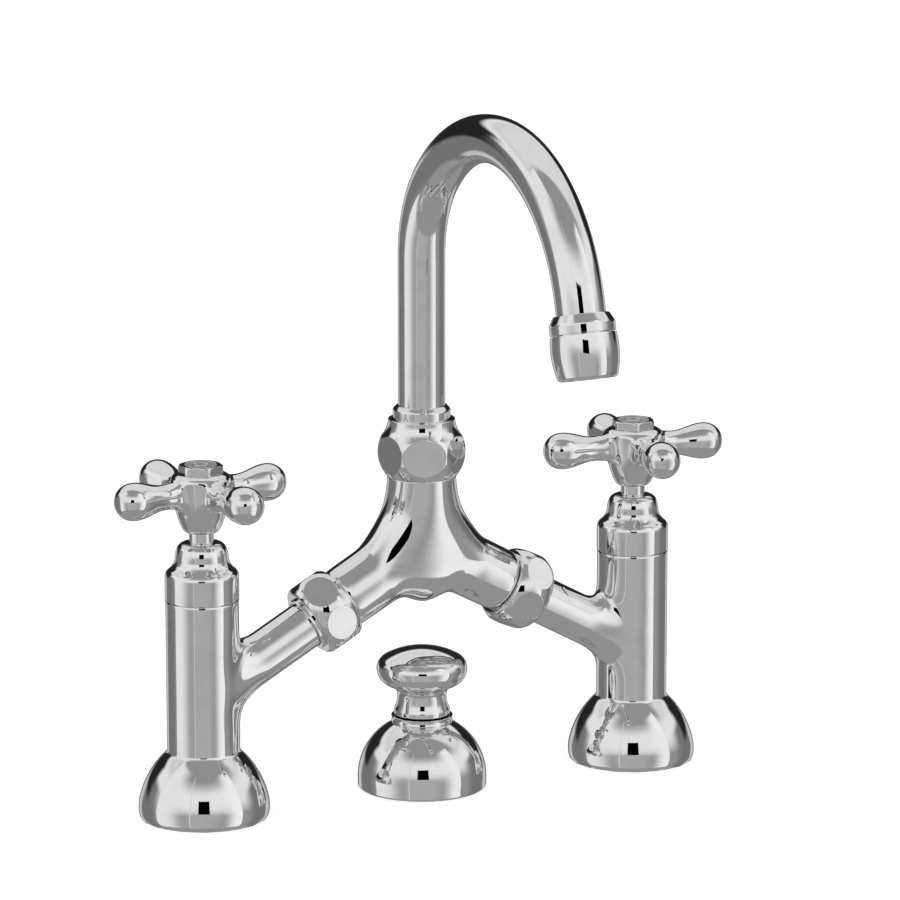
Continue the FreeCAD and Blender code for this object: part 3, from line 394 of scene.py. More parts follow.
@dataclass(frozen=True)
class Finish:
    """One surface finish: two near colours, a range of roughness and a fine relief."""

    slot: str
    clean: tuple[float, float, float]
    hazed: tuple[float, float, float]
    metallic: float
    smoothest: float
    haziest: float
    haze_scale: float
    relief: Effect
    relief_scale: float
    relief_depth: float
    grade: str = "finish"

    @property
    def material(self) -> bpy.types.Material:
        """The finish as a material, built on first use."""
        return bpy.data.materials.get(f"{self.slot}_{self.grade}") or self._build()

    def _build(self) -> bpy.types.Material:
        """Build the material's nodes.

        Returns:
            The new material.
        """
        material = bpy.data.materials.new(f"{self.slot}_{self.grade}")
        material.use_nodes = True
        wiring = Wiring(material.node_tree)
        place = wiring.add("TexCoord", {}).outputs["Object"]
        haze, relief = (
            wiring.add("Group", {"Scale": scale, "Vector": place}, node_tree=effect.group).outputs["Mask"]
            for effect, scale in ((Effect.HAZE, self.haze_scale), (self.relief, self.relief_scale)))
        tints = {"A": (*self.clean, 1), "B": (*self.hazed, 1), "Factor": haze}
        gloss = {"Value": haze, "To Min": self.smoothest, "To Max": self.haziest}
        bump = {"Height": relief, "Distance": self.relief_depth}
        wiring.fill(material.node_tree.nodes["Principled BSDF"], {
            "Metallic": self.metallic,
            "Base Color": wiring.add("Mix", tints, data_type="RGBA").outputs["Result"],
            "Roughness": wiring.add("MapRange", gloss).outputs["Result"],
            "Normal": wiring.add("Bump", bump).outputs["Normal"],
        })
        return material


CHROME = Finish("chrome", (0.83, 0.83, 0.835), (0.78, 0.78, 0.79), 1.0, 0.025, 0.06, 90.0,
                Effect.RIPPLE, 160.0, 0.000006)
SATIN = Finish("chrome", (0.88, 0.88, 0.885), (0.83, 0.83, 0.84), 1.0, 0.36, 0.44, 200.0,
               Effect.TOOL_MARKS, 700.0, 0.00001, "satin")
FINISHES = {finish.slot: finish for finish in (
    CHROME,
    Finish("brass", (0.78, 0.58, 0.26), (0.66, 0.46, 0.20), 1.0, 0.22, 0.38, 160.0,
           Effect.TOOL_MARKS, 900.0, 0.00002),
    Finish("steel", (0.62, 0.62, 0.63), (0.52, 0.52, 0.53), 1.0, 0.24, 0.4, 200.0,
           Effect.TOOL_MARKS, 700.0, 0.00002),
    Finish("rubber", (0.022, 0.022, 0.024), (0.05, 0.05, 0.052), 0.0, 0.55, 0.75, 240.0,
           Effect.RIPPLE, 900.0, 0.00005),
    Finish("ceramic", (0.9, 0.89, 0.86), (0.84, 0.82, 0.78), 0.0, 0.12, 0.25, 120.0,
           Effect.RIPPLE, 600.0, 0.000008),
    Finish("plastic", (0.83, 0.83, 0.81), (0.76, 0.76, 0.74), 0.0, 0.35, 0.5, 180.0,
           Effect.RIPPLE, 800.0, 0.00001),
)}


@dataclass(frozen=True)
class Carrier:
    """What a finished piece rides on and stands for."""

    body: str
    node: str
    slot: str = "chrome"

    def finish(self, mesh: BMesh, name: str, place: Matrix = Matrix.Identity(4),
               levels: int = 0, special: Finish | None = None) -> None:
        """Turn a finished bmesh into a piece of the object.

        Args:
            mesh: The shape in millimetres, freed here.
            name: Name of the piece.
            place: Where it goes in the object.
            levels: Levels of smooth subdivision, for a cage.
            special: A finish other than the slot's usual one.
        """
        bmesh.ops.transform(mesh, matrix=Matrix.Scale(MM, 4) @ place, verts=mesh.verts[:])
        bmesh.ops.recalc_face_normals(mesh, faces=mesh.faces[:])
        if mesh.calc_volume(signed=True) < 0:
            bmesh.ops.reverse_faces(mesh, faces=mesh.faces[:])
        data = bpy.data.meshes.new(name)
        mesh.to_mesh(data)
        mesh.free()
        data.shade_smooth()
        data.materials.append((special or FINISHES[self.slot]).material)
        piece = bpy.data.objects.new(name, data)
        bpy.context.scene.collection.objects.link(piece)
        if levels:
            smooth = piece.modifiers.new("smooth_cage", "SUBSURF")
            smooth.levels = smooth.render_levels = levels
        else:
            data.set_sharp_from_angle(angle=math.radians(SHARP_ANGLE))
            even = piece.modifiers.new("even_normals", "WEIGHTED_NORMAL")
            even.keep_sharp = True
            even.weight = NORMAL_WEIGHT
        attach(piece, self.body)
        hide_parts(self.node)
        LOG.info("%s rides on %s", name, self.body)


@dataclass
class Pillar:
    """Foot, tube and sloping branch of one pillar, with its bonnet and the nut of its union.

    The outlines of bonnet and nut are measured from their own feet.
    """

    side: Side
    nut_turn: float
    sides: int = 16
    foot_radius: float = 27.0
    foot_band: float = 6.0
    foot_edge: float = 1.2
    dome_rise: float = 21.5
    dome_arc: float = 36.0
    tube_radius: float = 15.0
    tube_fillet: float = 2.5
    tube_chamfer: float = 0.06
    inlet_radius: float = 9.3
    inlet_depth: float = 20.0
    riser_radius: float = 7.05
    chamber_floor: float = 28.0
    chamber_radius: float = 10.5
    spigot_radius: float = 13.0
    spigot_height: float = 5.0
    branch_height: float = 50.0
    branch_slope: float = 28.5
    branch_radius: float = 10.0
    branch_length: float = 61.0
    branch_rings: tuple[tuple[float, float], ...] = ((24.0, 1.0), (30.0, 0.6), (38.0, 0.15), (50.0, 0.0))
    saddle_rows: tuple[float, ...] = (36.5, 43.7, 50.8, 55.8, 60.8, 67.8, 79.5)
    saddle_half_angle: float = 45.0
    saddle_flare: float = 12.4
    bonnet: tuple[Corner, ...] = (
        Corner(13.3, 0.0), Corner(13.45, 0.0), Corner(13.45, 0.45), Corner(15.2, 0.45, ease=0.15),
        Corner(15.2, 9.8), Corner(14.0, 12.6, arc=3.9), Corner(11.0, 17.5, arc=-7.84),
        Corner(10.2, 21.6, arc=11.0), Corner(6.3, 24.2, arc=3.9), Corner(5.4, 24.2, ease=0.2),
        Corner(5.4, 21.0), Corner(9.1, 21.0), Corner(9.1, 9.8), Corner(13.3, 9.8))
    nut: tuple[Corner, ...] = (
        Corner(10.3, 0.0), Corner(11.8, 0.0, ease=0.3), Corner(11.8, 1.6), Corner(14.4, 1.6, ease=0.5),
        Corner(17.2, 10.05, arc=14.2), Corner(14.4, 18.5, arc=14.2, ease=0.5), Corner(11.65, 18.5),
        Corner(11.65, 3.5), Corner(10.3, 3.5))
    nut_start: float = 52.7
    nut_flats: float = 31.0
    nut_rim_ease: float = 0.25

    def build(self) -> None:
        """Make the pillar's pieces."""
        self._casting()
        self._bonnet()
        self._union_nut()

    def _branch(self, distance: float) -> Matrix:
        """Frame on the branch's axis at a distance from the pillar's axis."""
        return on_slope(self.branch_height, self.branch_slope, distance)

    def _casting(self) -> None:
        """Foot and tube as a turned cage, opened at the saddle where the branch grows out."""
        top = span(self.side.node("bonnet"))[0]
        chamfer = self.tube_radius - self.tube_chamfer
        meet, fillet = self._dome_fillet()
        outline = [
            (self.inlet_radius, 0), (self.foot_radius - self.foot_edge, 0),
            (self.foot_radius, self.foot_edge), (self.foot_radius, self.foot_band),
            (meet.x, meet.z, self.dome_arc), (self.tube_radius, fillet.z, -self.tube_fillet),
            *((self.tube_radius, height) for height in self.saddle_rows),
            (self.tube_radius, top - self.tube_chamfer), (chamfer, top), (self.spigot_radius, top),
            (self.spigot_radius, top + self.spigot_height), (self.chamber_radius, top + self.spigot_height),
            (self.chamber_radius, self.chamber_floor), (self.riser_radius, self.chamber_floor),
            (self.riser_radius, self.inlet_depth), (self.inlet_radius, self.inlet_depth),
        ]
        grow = cage_radius(1.0, self.sides)
        rows = [(r * grow, z, *(a * grow for a in arc)) for r, z, *arc in outline]
        mesh = Lathe(rows, self.sides).mesh
        crisp = {self.foot_radius - self.foot_edge, self.inlet_radius, self.spigot_radius,
                 self.chamber_radius, self.riser_radius, chamfer}
        for edge in mesh.edges:
            heights = [vertex.co.z for vertex in edge.verts]
            radius = max(vertex.co.xy.length for vertex in edge.verts) / grow
            level = abs(heights[0] - heights[1]) < WELD
            seam = abs(heights[0] - top + self.tube_chamfer) < WELD
            if level and (seam or any(abs(radius - r) < SAME_RADIUS for r in crisp)):
                crease(mesh, [edge])
        saddle = [face for face in mesh.faces if self._in_saddle(face.calc_center_median())]
        bmesh.ops.delete(mesh, geom=saddle, context="FACES")
        mouth = [edge for edge in mesh.edges if edge.is_boundary]
        for vertex in {vertex for edge in mouth for vertex in edge.verts}:
            vertex.co = self._flared(vertex.co, self.tube_radius * grow, self.saddle_flare * grow)
        tilt = math.tan(math.radians(self.branch_slope))
        places = [self._branch(distance) @ lean(-share * tilt) for distance, share in self.branch_rings]
        places.append(self._branch(self.branch_length))
        rings = [cage_ring(mesh, self.branch_radius, place, self.sides) for place in places]
        join_rings(mesh, [mouth, *rings])
        bmesh.ops.contextual_create(mesh, geom=rings[-1])
        crease(mesh, rings[-1])
        Carrier("tap", self.side.node("pillar")).finish(
            mesh, self.side.node("pillar_casting"), self.side.stand, CAGE_LEVELS - 1)

    def _dome_fillet(self) -> tuple[Vector, Vector]:
        """Fit the fillet between the foot's dome and the tube.

        Returns:
            Where the fillet leaves the dome, and its centre.
        """
        rim = Vector((self.foot_radius, 0, self.foot_band))
        crown = Vector((self.tube_radius, 0, self.foot_band + self.dome_rise))
        centre = arc_centre(rim, crown, self.dome_arc)
        reach = self.dome_arc + self.tube_fillet
        across = self.tube_radius + self.tube_fillet
        fillet = Vector((across, 0, centre.z + math.sqrt(reach ** 2 - (across - centre.x) ** 2)))
        return centre.lerp(fillet, self.dome_arc / reach), fillet

    def _in_saddle(self, centre: Vector) -> bool:
        """Tell whether a face of the tube lies where the branch grows out.

        Args:
            centre: The face's centre.

        Returns:
            Whether it does.
        """
        outside = centre.xy.length > self.spigot_radius
        facing = abs(math.degrees(math.atan2(centre.y, centre.x))) < self.saddle_half_angle
        return outside and facing and self.saddle_rows[1] < centre.z < self.saddle_rows[-2]

    def _flared(self, point: Vector, tube: float, flare: float) -> Vector:
        """Move a point of the saddle's rim to the round flare where the branch leaves the tube.

        Args:
            point: Corner of the opening in the tube's wall.
            tube: Radius of the tube.
            flare: Radius of the flare round the branch's axis.

        Returns:
            The place on the tube's wall at the nearest even step round the branch.
        """
        axis = self._branch(0.0)
        own = axis.inverted() @ point
        step = math.tau / self.sides
        angle = round(math.atan2(own.y, own.x) / step) * step
        start = axis @ Vector((flare * math.cos(angle), flare * math.sin(angle), 0))
        out = axis.to_3x3() @ Vector((0, 0, 1))
        return start + out * ((math.sqrt(tube ** 2 - start.y ** 2) - start.x) / out.x)

    def _bonnet(self) -> None:
        """Bell-shaped cover over a dark seam: band, shoulder, waist and rounded crown."""
        foot = Matrix.Translation((0, 0, span(self.side.node("bonnet"))[0]))
        Carrier("tap", self.side.node("bonnet")).finish(
            Lathe(self.bonnet).mesh, self.side.node("bonnet_cover"), self.side.stand @ foot)

    def _union_nut(self) -> None:
        """Barrel-shaped hexagonal nut with round facets and a collar towards the pillar."""
        lathe = Lathe(self.nut)
        lathe.cut_flats(self.nut_flats, self.nut_turn, self.nut_rim_ease)
        Carrier("tap", self.side.node("union_nut")).finish(
            lathe.mesh, self.side.node("union_hexagon"), self.side.stand @ self._branch(self.nut_start))


@dataclass
class CrossHandle:
    """Hub with four swelling arms, and the hexagonal button on top."""

    side: Side
    angle: float
    sides: int = 16
    arm_sides: int = 8
    arm_height: float = 136.0
    root_half_height: float = 5.6
    root_half_angle: float = 22.5
    root_reach: float = 8.0
    hub_foot: float = 6.6
    hub_skirt: tuple[tuple[float, float], ...] = ((7.8, 1.0), (9.1, 4.2), (10.2, 7.6))
    hub_low: float = 11.0
    hub_belt: float = 12.2
    hub_high: float = 12.5
    hub_shoulder: tuple[float, float] = (11.7, 0.9)
    hub_top: float = 9.9
    hub_crispness: float = 0.7
    arm_stations: tuple[tuple[float, float], ...] = (
        (14.4, 5.5), (17.5, 5.1), (21.0, 5.4), (25.0, 6.5), (28.5, 7.45),
        (32.2, 7.95), (35.8, 7.3), (38.6, 5.2), (40.1, 2.4))
    button_flats: float = 16.6
    button_turn: float = -12.0
    button_radius: float = 9.2
    button_height: float = 3.5
    button_foot_ease: float = 0.3
    button_top_ease: float = 1.0
    button_rim_ease: float = 0.3
    plug_radius: float = 6.6
    inset_radius: float = 6.9
    inset_depth: float = 0.5
    inset_ease: float = 0.2
    face_radius: float = 6.6
    face_ease: float = 0.12
    groove_radius: float = 3.4
    groove_width: float = 0.8
    groove_ease: float = 0.1

    @property
    def turn(self) -> Matrix:
        """Puts the handle on its pillar at its rest angle."""
        turn = Matrix.Rotation(math.radians(self.angle), 4, "Z")
        return Matrix.Translation((self.side.axis_x, 0, 0)) @ turn

    @property
    def body(self) -> str:
        """Name of the body that turns."""
        return self.side.node("handle_group")

    def build(self) -> None:
        """Make the handle's pieces."""
        self._cross()
        self._button()

    def _cross(self) -> None:
        """Bell-shaped hub as a turned cage with an arm grown out of each of its four openings."""
        foot = span(self.side.node("handle"))[0]
        top = span(self.side.node("index_button"))[1] - self.button_height
        low, high = self.arm_height - self.root_half_height, self.arm_height + self.root_half_height
        outline = [
            (0, foot), (self.hub_foot, foot), *((radius, foot + rise) for radius, rise in self.hub_skirt),
            (self.hub_low, low), (self.hub_belt, self.arm_height), (self.hub_high, high),
            (self.hub_shoulder[0], top - self.hub_shoulder[1]), (self.hub_top, top), (0, top),
        ]
        grow = cage_radius(1.0, self.sides)
        mesh = Lathe([(r * grow, z) for r, z in outline], self.sides, closed=False).mesh
        for edge in mesh.edges:
            ends = edge.verts
            rim = all(abs(v.co.z - foot) < WELD or abs(v.co.z - top) < WELD for v in ends)
            if rim and min(v.co.xy.length for v in ends) > WELD:
                crease(mesh, [edge], self.hub_crispness)
        roots = [face for face in mesh.faces if self._in_root(face.calc_center_median(), low, high)]
        bmesh.ops.delete(mesh, geom=roots, context="FACES")
        mouths = [edge for edge in mesh.edges if edge.is_boundary]
        for quarter in range(4):
            self._arm(mesh, mouths, Matrix.Rotation(math.radians(QUARTER * quarter), 4, "Z"))
        Carrier(self.body, self.side.node("handle")).finish(
            mesh, self.side.node("cross_handle"), self.turn, CAGE_LEVELS - 1)

    def _in_root(self, centre: Vector, low: float, high: float) -> bool:
        """Whether a face of the hub lies where an arm grows out."""
        off_arm = (math.degrees(math.atan2(centre.y, centre.x)) + QUARTER / 2) % QUARTER - QUARTER / 2
        return abs(off_arm) < self.root_half_angle and low < centre.z < high

    def _arm(self, mesh: BMesh, mouths: list[BMEdge], quarter: Matrix) -> None:
        """Grow one arm out of its opening.

        Args:
            mesh: The handle's cage.
            mouths: Rims of all four openings.
            quarter: Turn that brings +X to this arm.
        """
        out = (quarter @ Vector((1, 0, 0))).to_3d()
        rings = [[edge for edge in mouths if all(v.co.dot(out) > self.root_reach for v in edge.verts)]]
        for distance, radius in self.arm_stations:
            place = quarter @ on_slope(self.arm_height, 0.0, distance)
            rings.append(cage_ring(mesh, radius, place, self.arm_sides))
        join_rings(mesh, rings)
        bmesh.ops.contextual_create(mesh, geom=rings[-1])

    def _button(self) -> None:
        """Hexagonal cap with a plain satin disc let into its face."""
        foot, top = span(self.side.node("index_button"))
        seat = top - self.button_height
        floor = top - self.inset_depth
        lathe = Lathe([
            (0, foot), (self.plug_radius, foot), (self.plug_radius, seat),
            (self.button_radius, seat, 0, self.button_foot_ease),
            (self.button_radius, top, 0, self.button_top_ease),
            (self.inset_radius, top, 0, self.inset_ease), (self.inset_radius, floor), (0, floor),
        ], closed=False)
        lathe.cut_flats(self.button_flats, self.button_turn, self.button_rim_ease)
        carrier = Carrier(self.body, self.side.node("index_button"))
        carrier.finish(lathe.mesh, self.side.node("handle_button"), self.turn)
        face = Lathe([
            (0, floor), (self.face_radius, floor), (self.face_radius, top, 0, self.face_ease),
            (self.groove_radius, top, 0, self.groove_ease),
            (self.groove_radius - self.groove_width / 2, floor),
            (self.groove_radius - self.groove_width, top, 0, self.groove_ease), (0, top),
        ], closed=False)
        carrier.finish(face.mesh, self.side.node("handle_button_face"), self.turn, special=SATIN)


@dataclass
class Bridge:
    """Inverted Y casting under the spout, and the nut on its neck."""

    sides: int = 8
    slope: float = 28.5
    apex: float = 104.3
    neck_rings: tuple[tuple[float, float, float], ...] = (
        (0.0, 14.3, 14.3), (6.0, 14.8, 14.4), (13.0, 16.6, 14.5), (19.5, 20.3, 14.7))
    arm_rings: tuple[tuple[float, float], ...] = ((42.3, 12.4), (41.5, 13.1), (34.0, 13.1), (27.0, 13.2))
    shoulder: float = 20.5
    shoulder_radius: float = 13.3
    shoulder_depth: float = 12.6
    shoulder_lean: float = 11.0
    belly_height: float = 95.4
    belly_radius: float = 15.6
    belly_sag: float = 3.6
    nut: tuple[Corner, ...] = (
        Corner(13.25, 0.0), Corner(14.3, 0.0, ease=0.3), Corner(18.3, 10.6, arc=16.1),
        Corner(16.8, 16.9, arc=14.0), Corner(13.9, 24.4, arc=-12.0, ease=0.3), Corner(12.3, 24.4, ease=0.2),
        Corner(12.3, 19.9), Corner(13.25, 19.9))
    nut_flats: float = 32.0
    nut_turn: float = 8.0
    nut_rim_ease: float = 0.25

    def build(self) -> None:
        """Make the casting and the nut."""
        self._casting()
        self._nut()

    def _arm(self, sign: int, distance: float) -> Matrix:
        """Frame on an arm's axis at a distance from where the axes meet."""
        return on_slope(self.apex, -self.slope, distance, sign)

    def _casting(self) -> None:
        """Three round limbs whose last rings are joined half to half, with a pouch slung below."""
        mesh = bmesh.new()
        mesh.edges.layers.float.new(CREASE)
        top = span("spout_nut")[0]
        neck = [Matrix.Translation((0, 0, top - depth)) @ Matrix.Diagonal((wide, deep, 1, 1))
                for depth, wide, deep in self.neck_rings]
        limbs = [[cage_ring(mesh, 1.0, place, self.sides) for place in neck]]
        for sign in (-1, 1):
            rings = [cage_ring(mesh, radius, self._arm(sign, distance), self.sides)
                     for distance, radius in self.arm_rings]
            tilt = lean(-sign * math.tan(math.radians(self.shoulder_lean)))
            oval = Matrix.Diagonal((self.shoulder_radius, self.shoulder_depth, 1, 1))
            rings.append(cage_ring(mesh, 1.0, self._arm(sign, self.shoulder) @ tilt @ oval, self.sides))
            limbs.append(rings)
        for limb in limbs:
            join_rings(mesh, limb)
            crease(mesh, limb[0])
            bmesh.ops.contextual_create(mesh, geom=limb[0])
        root, left, right = (limb[-1] for limb in limbs)
        belly = self._belly(mesh)
        join_rings(mesh, [self._half(root, -1, "x"), self._half(left, 1, "z")])
        join_rings(mesh, [self._half(root, 1, "x"), self._half(right, 1, "z")])
        join_rings(mesh, [self._half(left, -1, "z"), belly, self._half(right, -1, "z")])
        bmesh.ops.holes_fill(mesh, edges=[edge for edge in mesh.edges if edge.is_boundary], sides=4)
        Carrier("tap", "bridge_body").finish(mesh, "bridge_casting", levels=CAGE_LEVELS)

    def _belly(self, mesh: BMesh) -> list[BMEdge]:
        """Sling the pouch's line from front to back under the middle.

        Args:
            mesh: The bridge's cage.

        Returns:
            The line's edges.
        """
        centre = Vector((0, 0, self.belly_height))
        reach = Vector((0, cage_radius(self.belly_radius, self.sides), 0))
        start = mesh.verts.new(centre + reach)
        bmesh.ops.spin(mesh, geom=[start], cent=centre, axis=(1, 0, 0), angle=-math.pi,
                       steps=self.sides // 2)
        line = {start}
        while fresh := {edge.other_vert(v) for v in line for edge in v.link_edges} - line:
            line |= fresh
        bottom = min(line, key=lambda vertex: vertex.co.z)
        bmesh.ops.translate(mesh, vec=(0, 0, -self.belly_sag), verts=[bottom])
        return list({edge for vertex in line for edge in vertex.link_edges})

    @staticmethod
    def _half(ring: Sequence[BMEdge], sign: int, letter: str) -> list[BMEdge]:
        """The half of a ring that lies on one side of its middle.

        Args:
            ring: The ring's edges.
            sign: Which side, -1 or 1.
            letter: Axis along which the sides lie.

        Returns:
            The edges of that half.
        """
        ranked = sorted(ring, key=lambda edge: sign * sum(getattr(v.co, letter) for v in edge.verts))
        return ranked[len(ring) // 2:]

    def _nut(self) -> None:
        """Hexagonal nut: a bulge with round facets that flares in to a collar on top."""
        lathe = Lathe(self.nut)
        lathe.cut_flats(self.nut_flats, self.nut_turn, self.nut_rim_ease)
        foot = Matrix.Translation((0, 0, span("spout_nut")[0]))
        Carrier("tap", "spout_nut").finish(lathe.mesh, "neck_hexagon", foot)


@dataclass
class Spout:
    """Swan-neck tube, its bends by radius and angle, with its ferrule, end socket and aerator."""

    body: str = "spout"
    tube_radius: float = 9.8
    tube_wall: float = 1.3
    riser_top: float = 225.0
    bends: tuple[tuple[float, float], ...] = ((50.0, 44.0), (73.0, 122.0))
    tail: float = 3.2
    overlap: float = 4.0
    bend_step: float = 2.0
    fit: float = 0.05
    ferrule_bore: float = 7.0
    ferrule_tail: float = 9.7
    ferrule_flange: float = 12.9
    ferrule_collar: float = 12.0
    ferrule_chamfer: float = 1.6
    ferrule_ease: float = 0.6
    ferrule_top_ease: float = 0.3
    ferrule_seat: float = 12.0
    bearing_ring: float = 1.0
    socket_length: float = 7.4
    socket_land: float = 11.0
    socket_land_ease: float = 0.35
    socket_radius: float = 13.0
    socket_flare: float = 3.6
    socket_flare_ease: float = 0.7
    socket_gap: float = 0.4
    seam_ease: float = 0.15
    thread_radius: float = 11.0
    thread_length: float = 5.0
    gasket: float = 1.5
    aerator_length: float = 18.0
    aerator_radius: float = 13.5
    aerator_shoulder: float = 6.0
    aerator_shoulder_arc: float = 36.5
    aerator_mouth: float = 11.6
    aerator_arc: float = 39.0
    mouth_ease: float = 1.3
    insert_radius: float = 10.0
    insert_lip: float = 8.8
    lip_ease: float = 0.3
    insert_recess: float = 1.0

    def build(self) -> None:
        """Make the spout's pieces."""
        outlet = self._tube()
        self._ferrule()
        self._outlet(outlet)

    def _tube(self) -> Matrix:
        """Sweep the tube's two walls up the riser, round both bends and into the socket.

        Returns:
            The frame where the socket starts, with its Z along the flow.
        """
        mesh = bmesh.new()
        foot = span("spout_tube")[0]
        place = Matrix.Translation((0, 0, foot))
        for radius in (self.tube_radius, self.tube_radius - self.tube_wall):
            bmesh.ops.create_circle(mesh, segments=TURN_STEPS // 2, radius=radius, matrix=place)
        front = mesh.edges[:]
        bmesh.ops.bridge_loops(mesh, edges=front)
        front = self._sweep(mesh, front, axis=(0, 0, 1), dvec=(0, 0, self.riser_top - foot), steps=1)
        place = Matrix.Translation((0, 0, self.riser_top))
        for radius, angle in self.bends:
            centre = place @ Vector((0, -radius, 0))
            front = self._sweep(mesh, front, cent=centre, axis=(1, 0, 0), angle=math.radians(angle),
                                steps=round(angle / self.bend_step))
            swing = Matrix.Rotation(math.radians(angle), 4, "X")
            place = Matrix.Translation(centre) @ swing @ Matrix.Translation(-centre) @ place
        flow = place.to_3x3() @ Vector((0, 0, 1))
        front = self._sweep(mesh, front, axis=flow, dvec=flow * (self.tail + self.overlap), steps=1)
        bmesh.ops.bridge_loops(mesh, edges=front)
        weld(mesh)
        Carrier(self.body, "spout_tube").finish(mesh, "swan_neck")
        return Matrix.Translation(flow * self.tail) @ place

    @staticmethod
    def _sweep(mesh: BMesh, front: Sequence[BMEdge], **motion: object) -> list[BMEdge]:
        """Draw the tube's open end along a straight or round a bend.

        Args:
            mesh: The tube.
            front: Edges of its open end.
            motion: The step or the turn that it makes.

        Returns:
            The edges of the new open end.
        """
        spun = bmesh.ops.spin(mesh, geom=front, **motion)
        return [item for item in spun["geom_last"] if isinstance(item, BMEdge)]

    def _ferrule(self) -> None:
        """Collar that carries the tube, down to its flange and tail inside the nut."""
        foot, top = span("spout_ferrule")
        flange_top = span("spout_upper_ring")[1] - self.bearing_ring - self.fit
        flange_foot = span("spout_lower_ring")[1] + self.fit
        grip = self.tube_radius + self.fit
        seat = top - self.ferrule_seat
        mesh = Lathe([
            (self.ferrule_bore, foot), (self.ferrule_tail, foot), (self.ferrule_tail, flange_foot),
            (self.ferrule_flange, flange_foot), (self.ferrule_flange, flange_top),
            (self.ferrule_collar, flange_top),
            (self.ferrule_collar, top - self.ferrule_chamfer, 0, self.ferrule_ease),
            (self.ferrule_collar - self.ferrule_chamfer, top, 0, self.ferrule_top_ease), (grip, top),
            (grip, seat), (self.ferrule_bore, seat),
        ]).mesh
        Carrier(self.body, "spout_ferrule").finish(mesh, "spout_collar")

    def _outlet(self, outlet: Matrix) -> None:
        """Flared socket and the aerator's housing under it.

        Args:
            outlet: Where the socket starts, with its Z along the flow.
        """
        grip = self.tube_radius + self.fit
        bore = self.tube_radius - self.tube_wall
        seam, thread_end = self.socket_length, self.socket_length + self.thread_length
        socket = Lathe([
            (grip, 0), (self.socket_land, 0, 0, self.socket_land_ease),
            (self.socket_radius, self.socket_flare, 0, self.socket_flare_ease),
            (self.socket_radius, seam, 0, self.seam_ease),
            (self.thread_radius, seam), (self.thread_radius, thread_end), (bore, thread_end),
            (bore, self.overlap), (grip, self.overlap),
        ]).mesh
        Carrier(self.body, "spout_end_socket").finish(socket, "outlet_socket", outlet)
        mouth = seam + self.aerator_length
        thread = self.thread_radius + self.fit
        lip = mouth - self.insert_recess
        chamber = thread_end + self.gasket
        edge = seam + self.socket_gap
        housing = Lathe([
            (thread, edge), (self.socket_radius, edge, 0, self.seam_ease),
            (self.aerator_radius, seam + self.aerator_shoulder, self.aerator_shoulder_arc),
            (self.aerator_mouth, mouth, self.aerator_arc, self.mouth_ease),
            (self.insert_lip, mouth, 0, self.lip_ease), (self.insert_lip, lip), (self.insert_radius, lip),
            (self.insert_radius, chamber), (thread, chamber),
        ]).mesh
        Carrier(self.body, "aerator_housing").finish(housing, "aerator_shell", outlet)


@dataclass
class PopUp:
    """Domed base and mushroom knob of the pop-up lift."""

    dome_radius: float = 27.0
    dome_edge: float = 1.2
    dome_band: float = 2.4
    dome_rise: float = 24.9
    dome_arc: float = 26.0
    wall: float = 3.0
    roof: float = 1.5
    bush_bore: float = 5.05
    bush_length: float = 12.0
    collar_radius: float = 13.0
    collar_ease: float = 0.35
    collar_groove: float = 0.5
    groove_ease: float = 0.2
    lip_ease: float = 0.45
    collar_waist: float = 12.6
    collar_arc: float = 4.0
    rod_fit: float = 3.05
    knob: tuple[Corner, ...] = (
        Corner(11.75, 0.0, ease=0.5), Corner(11.75, 2.0, ease=0.4), Corner(10.3, 8.0, arc=-13.0),
        Corner(13.1, 12.2, arc=-4.6), Corner(19.0, 19.5, arc=7.5), Corner(15.8, 24.6, arc=5.7))

    def build(self) -> None:
        """Make the base and the knob."""
        self._base()
        self._knob()

    def _base(self) -> None:
        """Hollow dome with a waisted collar on top."""
        top = span("popup_base")[1]
        dome = self.dome_band + self.dome_rise
        inner = self.dome_radius - self.wall
        boss = self.bush_bore + self.wall
        groove = self.collar_radius - self.collar_groove
        lip = dome + 2 * self.collar_groove
        bush = top - self.bush_length
        mesh = Lathe([
            (inner, 0), (self.dome_radius - self.dome_edge, 0),
            (self.dome_radius, self.dome_edge, self.dome_edge), (self.dome_radius, self.dome_band),
            (self.collar_radius, dome, self.dome_arc),
            (groove, dome + self.collar_groove / 2, 0, self.groove_ease),
            (self.collar_radius, lip, 0, self.lip_ease),
            (self.collar_waist, (lip + top) / 2, -self.collar_arc),
            (self.collar_radius, top, -self.collar_arc, self.collar_ease), (self.bush_bore, top),
            (self.bush_bore, bush), (boss, bush), (boss, dome - self.roof),
            (inner, self.dome_band, self.wall - self.dome_arc),
        ]).mesh
        Carrier("tap", "popup_base").finish(mesh, "lift_dome")

    def _knob(self) -> None:
        """Turned mushroom: foot, waist, flare and a wide rounded cap."""
        foot, top = span("popup_knob")
        rod_top = span("popup_rod")[1] - foot
        rim = self.knob[-1]
        crown = top - foot - rim.height
        mesh = Lathe([
            (self.rod_fit, 0), *self.knob,
            (0, top - foot, (rim.radius ** 2 + crown ** 2) / (2 * crown)),
            (0, rod_top), (self.rod_fit, rod_top),
        ]).mesh
        Carrier("popup_lift", "popup_knob").finish(mesh, "lift_knob", Matrix.Translation((0, 0, foot)))


@dataclass(frozen=True)
class Panel:
    """A light or dark field on the studio's walls, seen from the object.

    Directions are degrees right of the camera and above the horizon.
    """

    left: float
    right: float
    bottom: float
    top: float
    light: float
    left_fade: float = 2.0
    right_fade: float = 2.0
    level_fade: float = 6.0


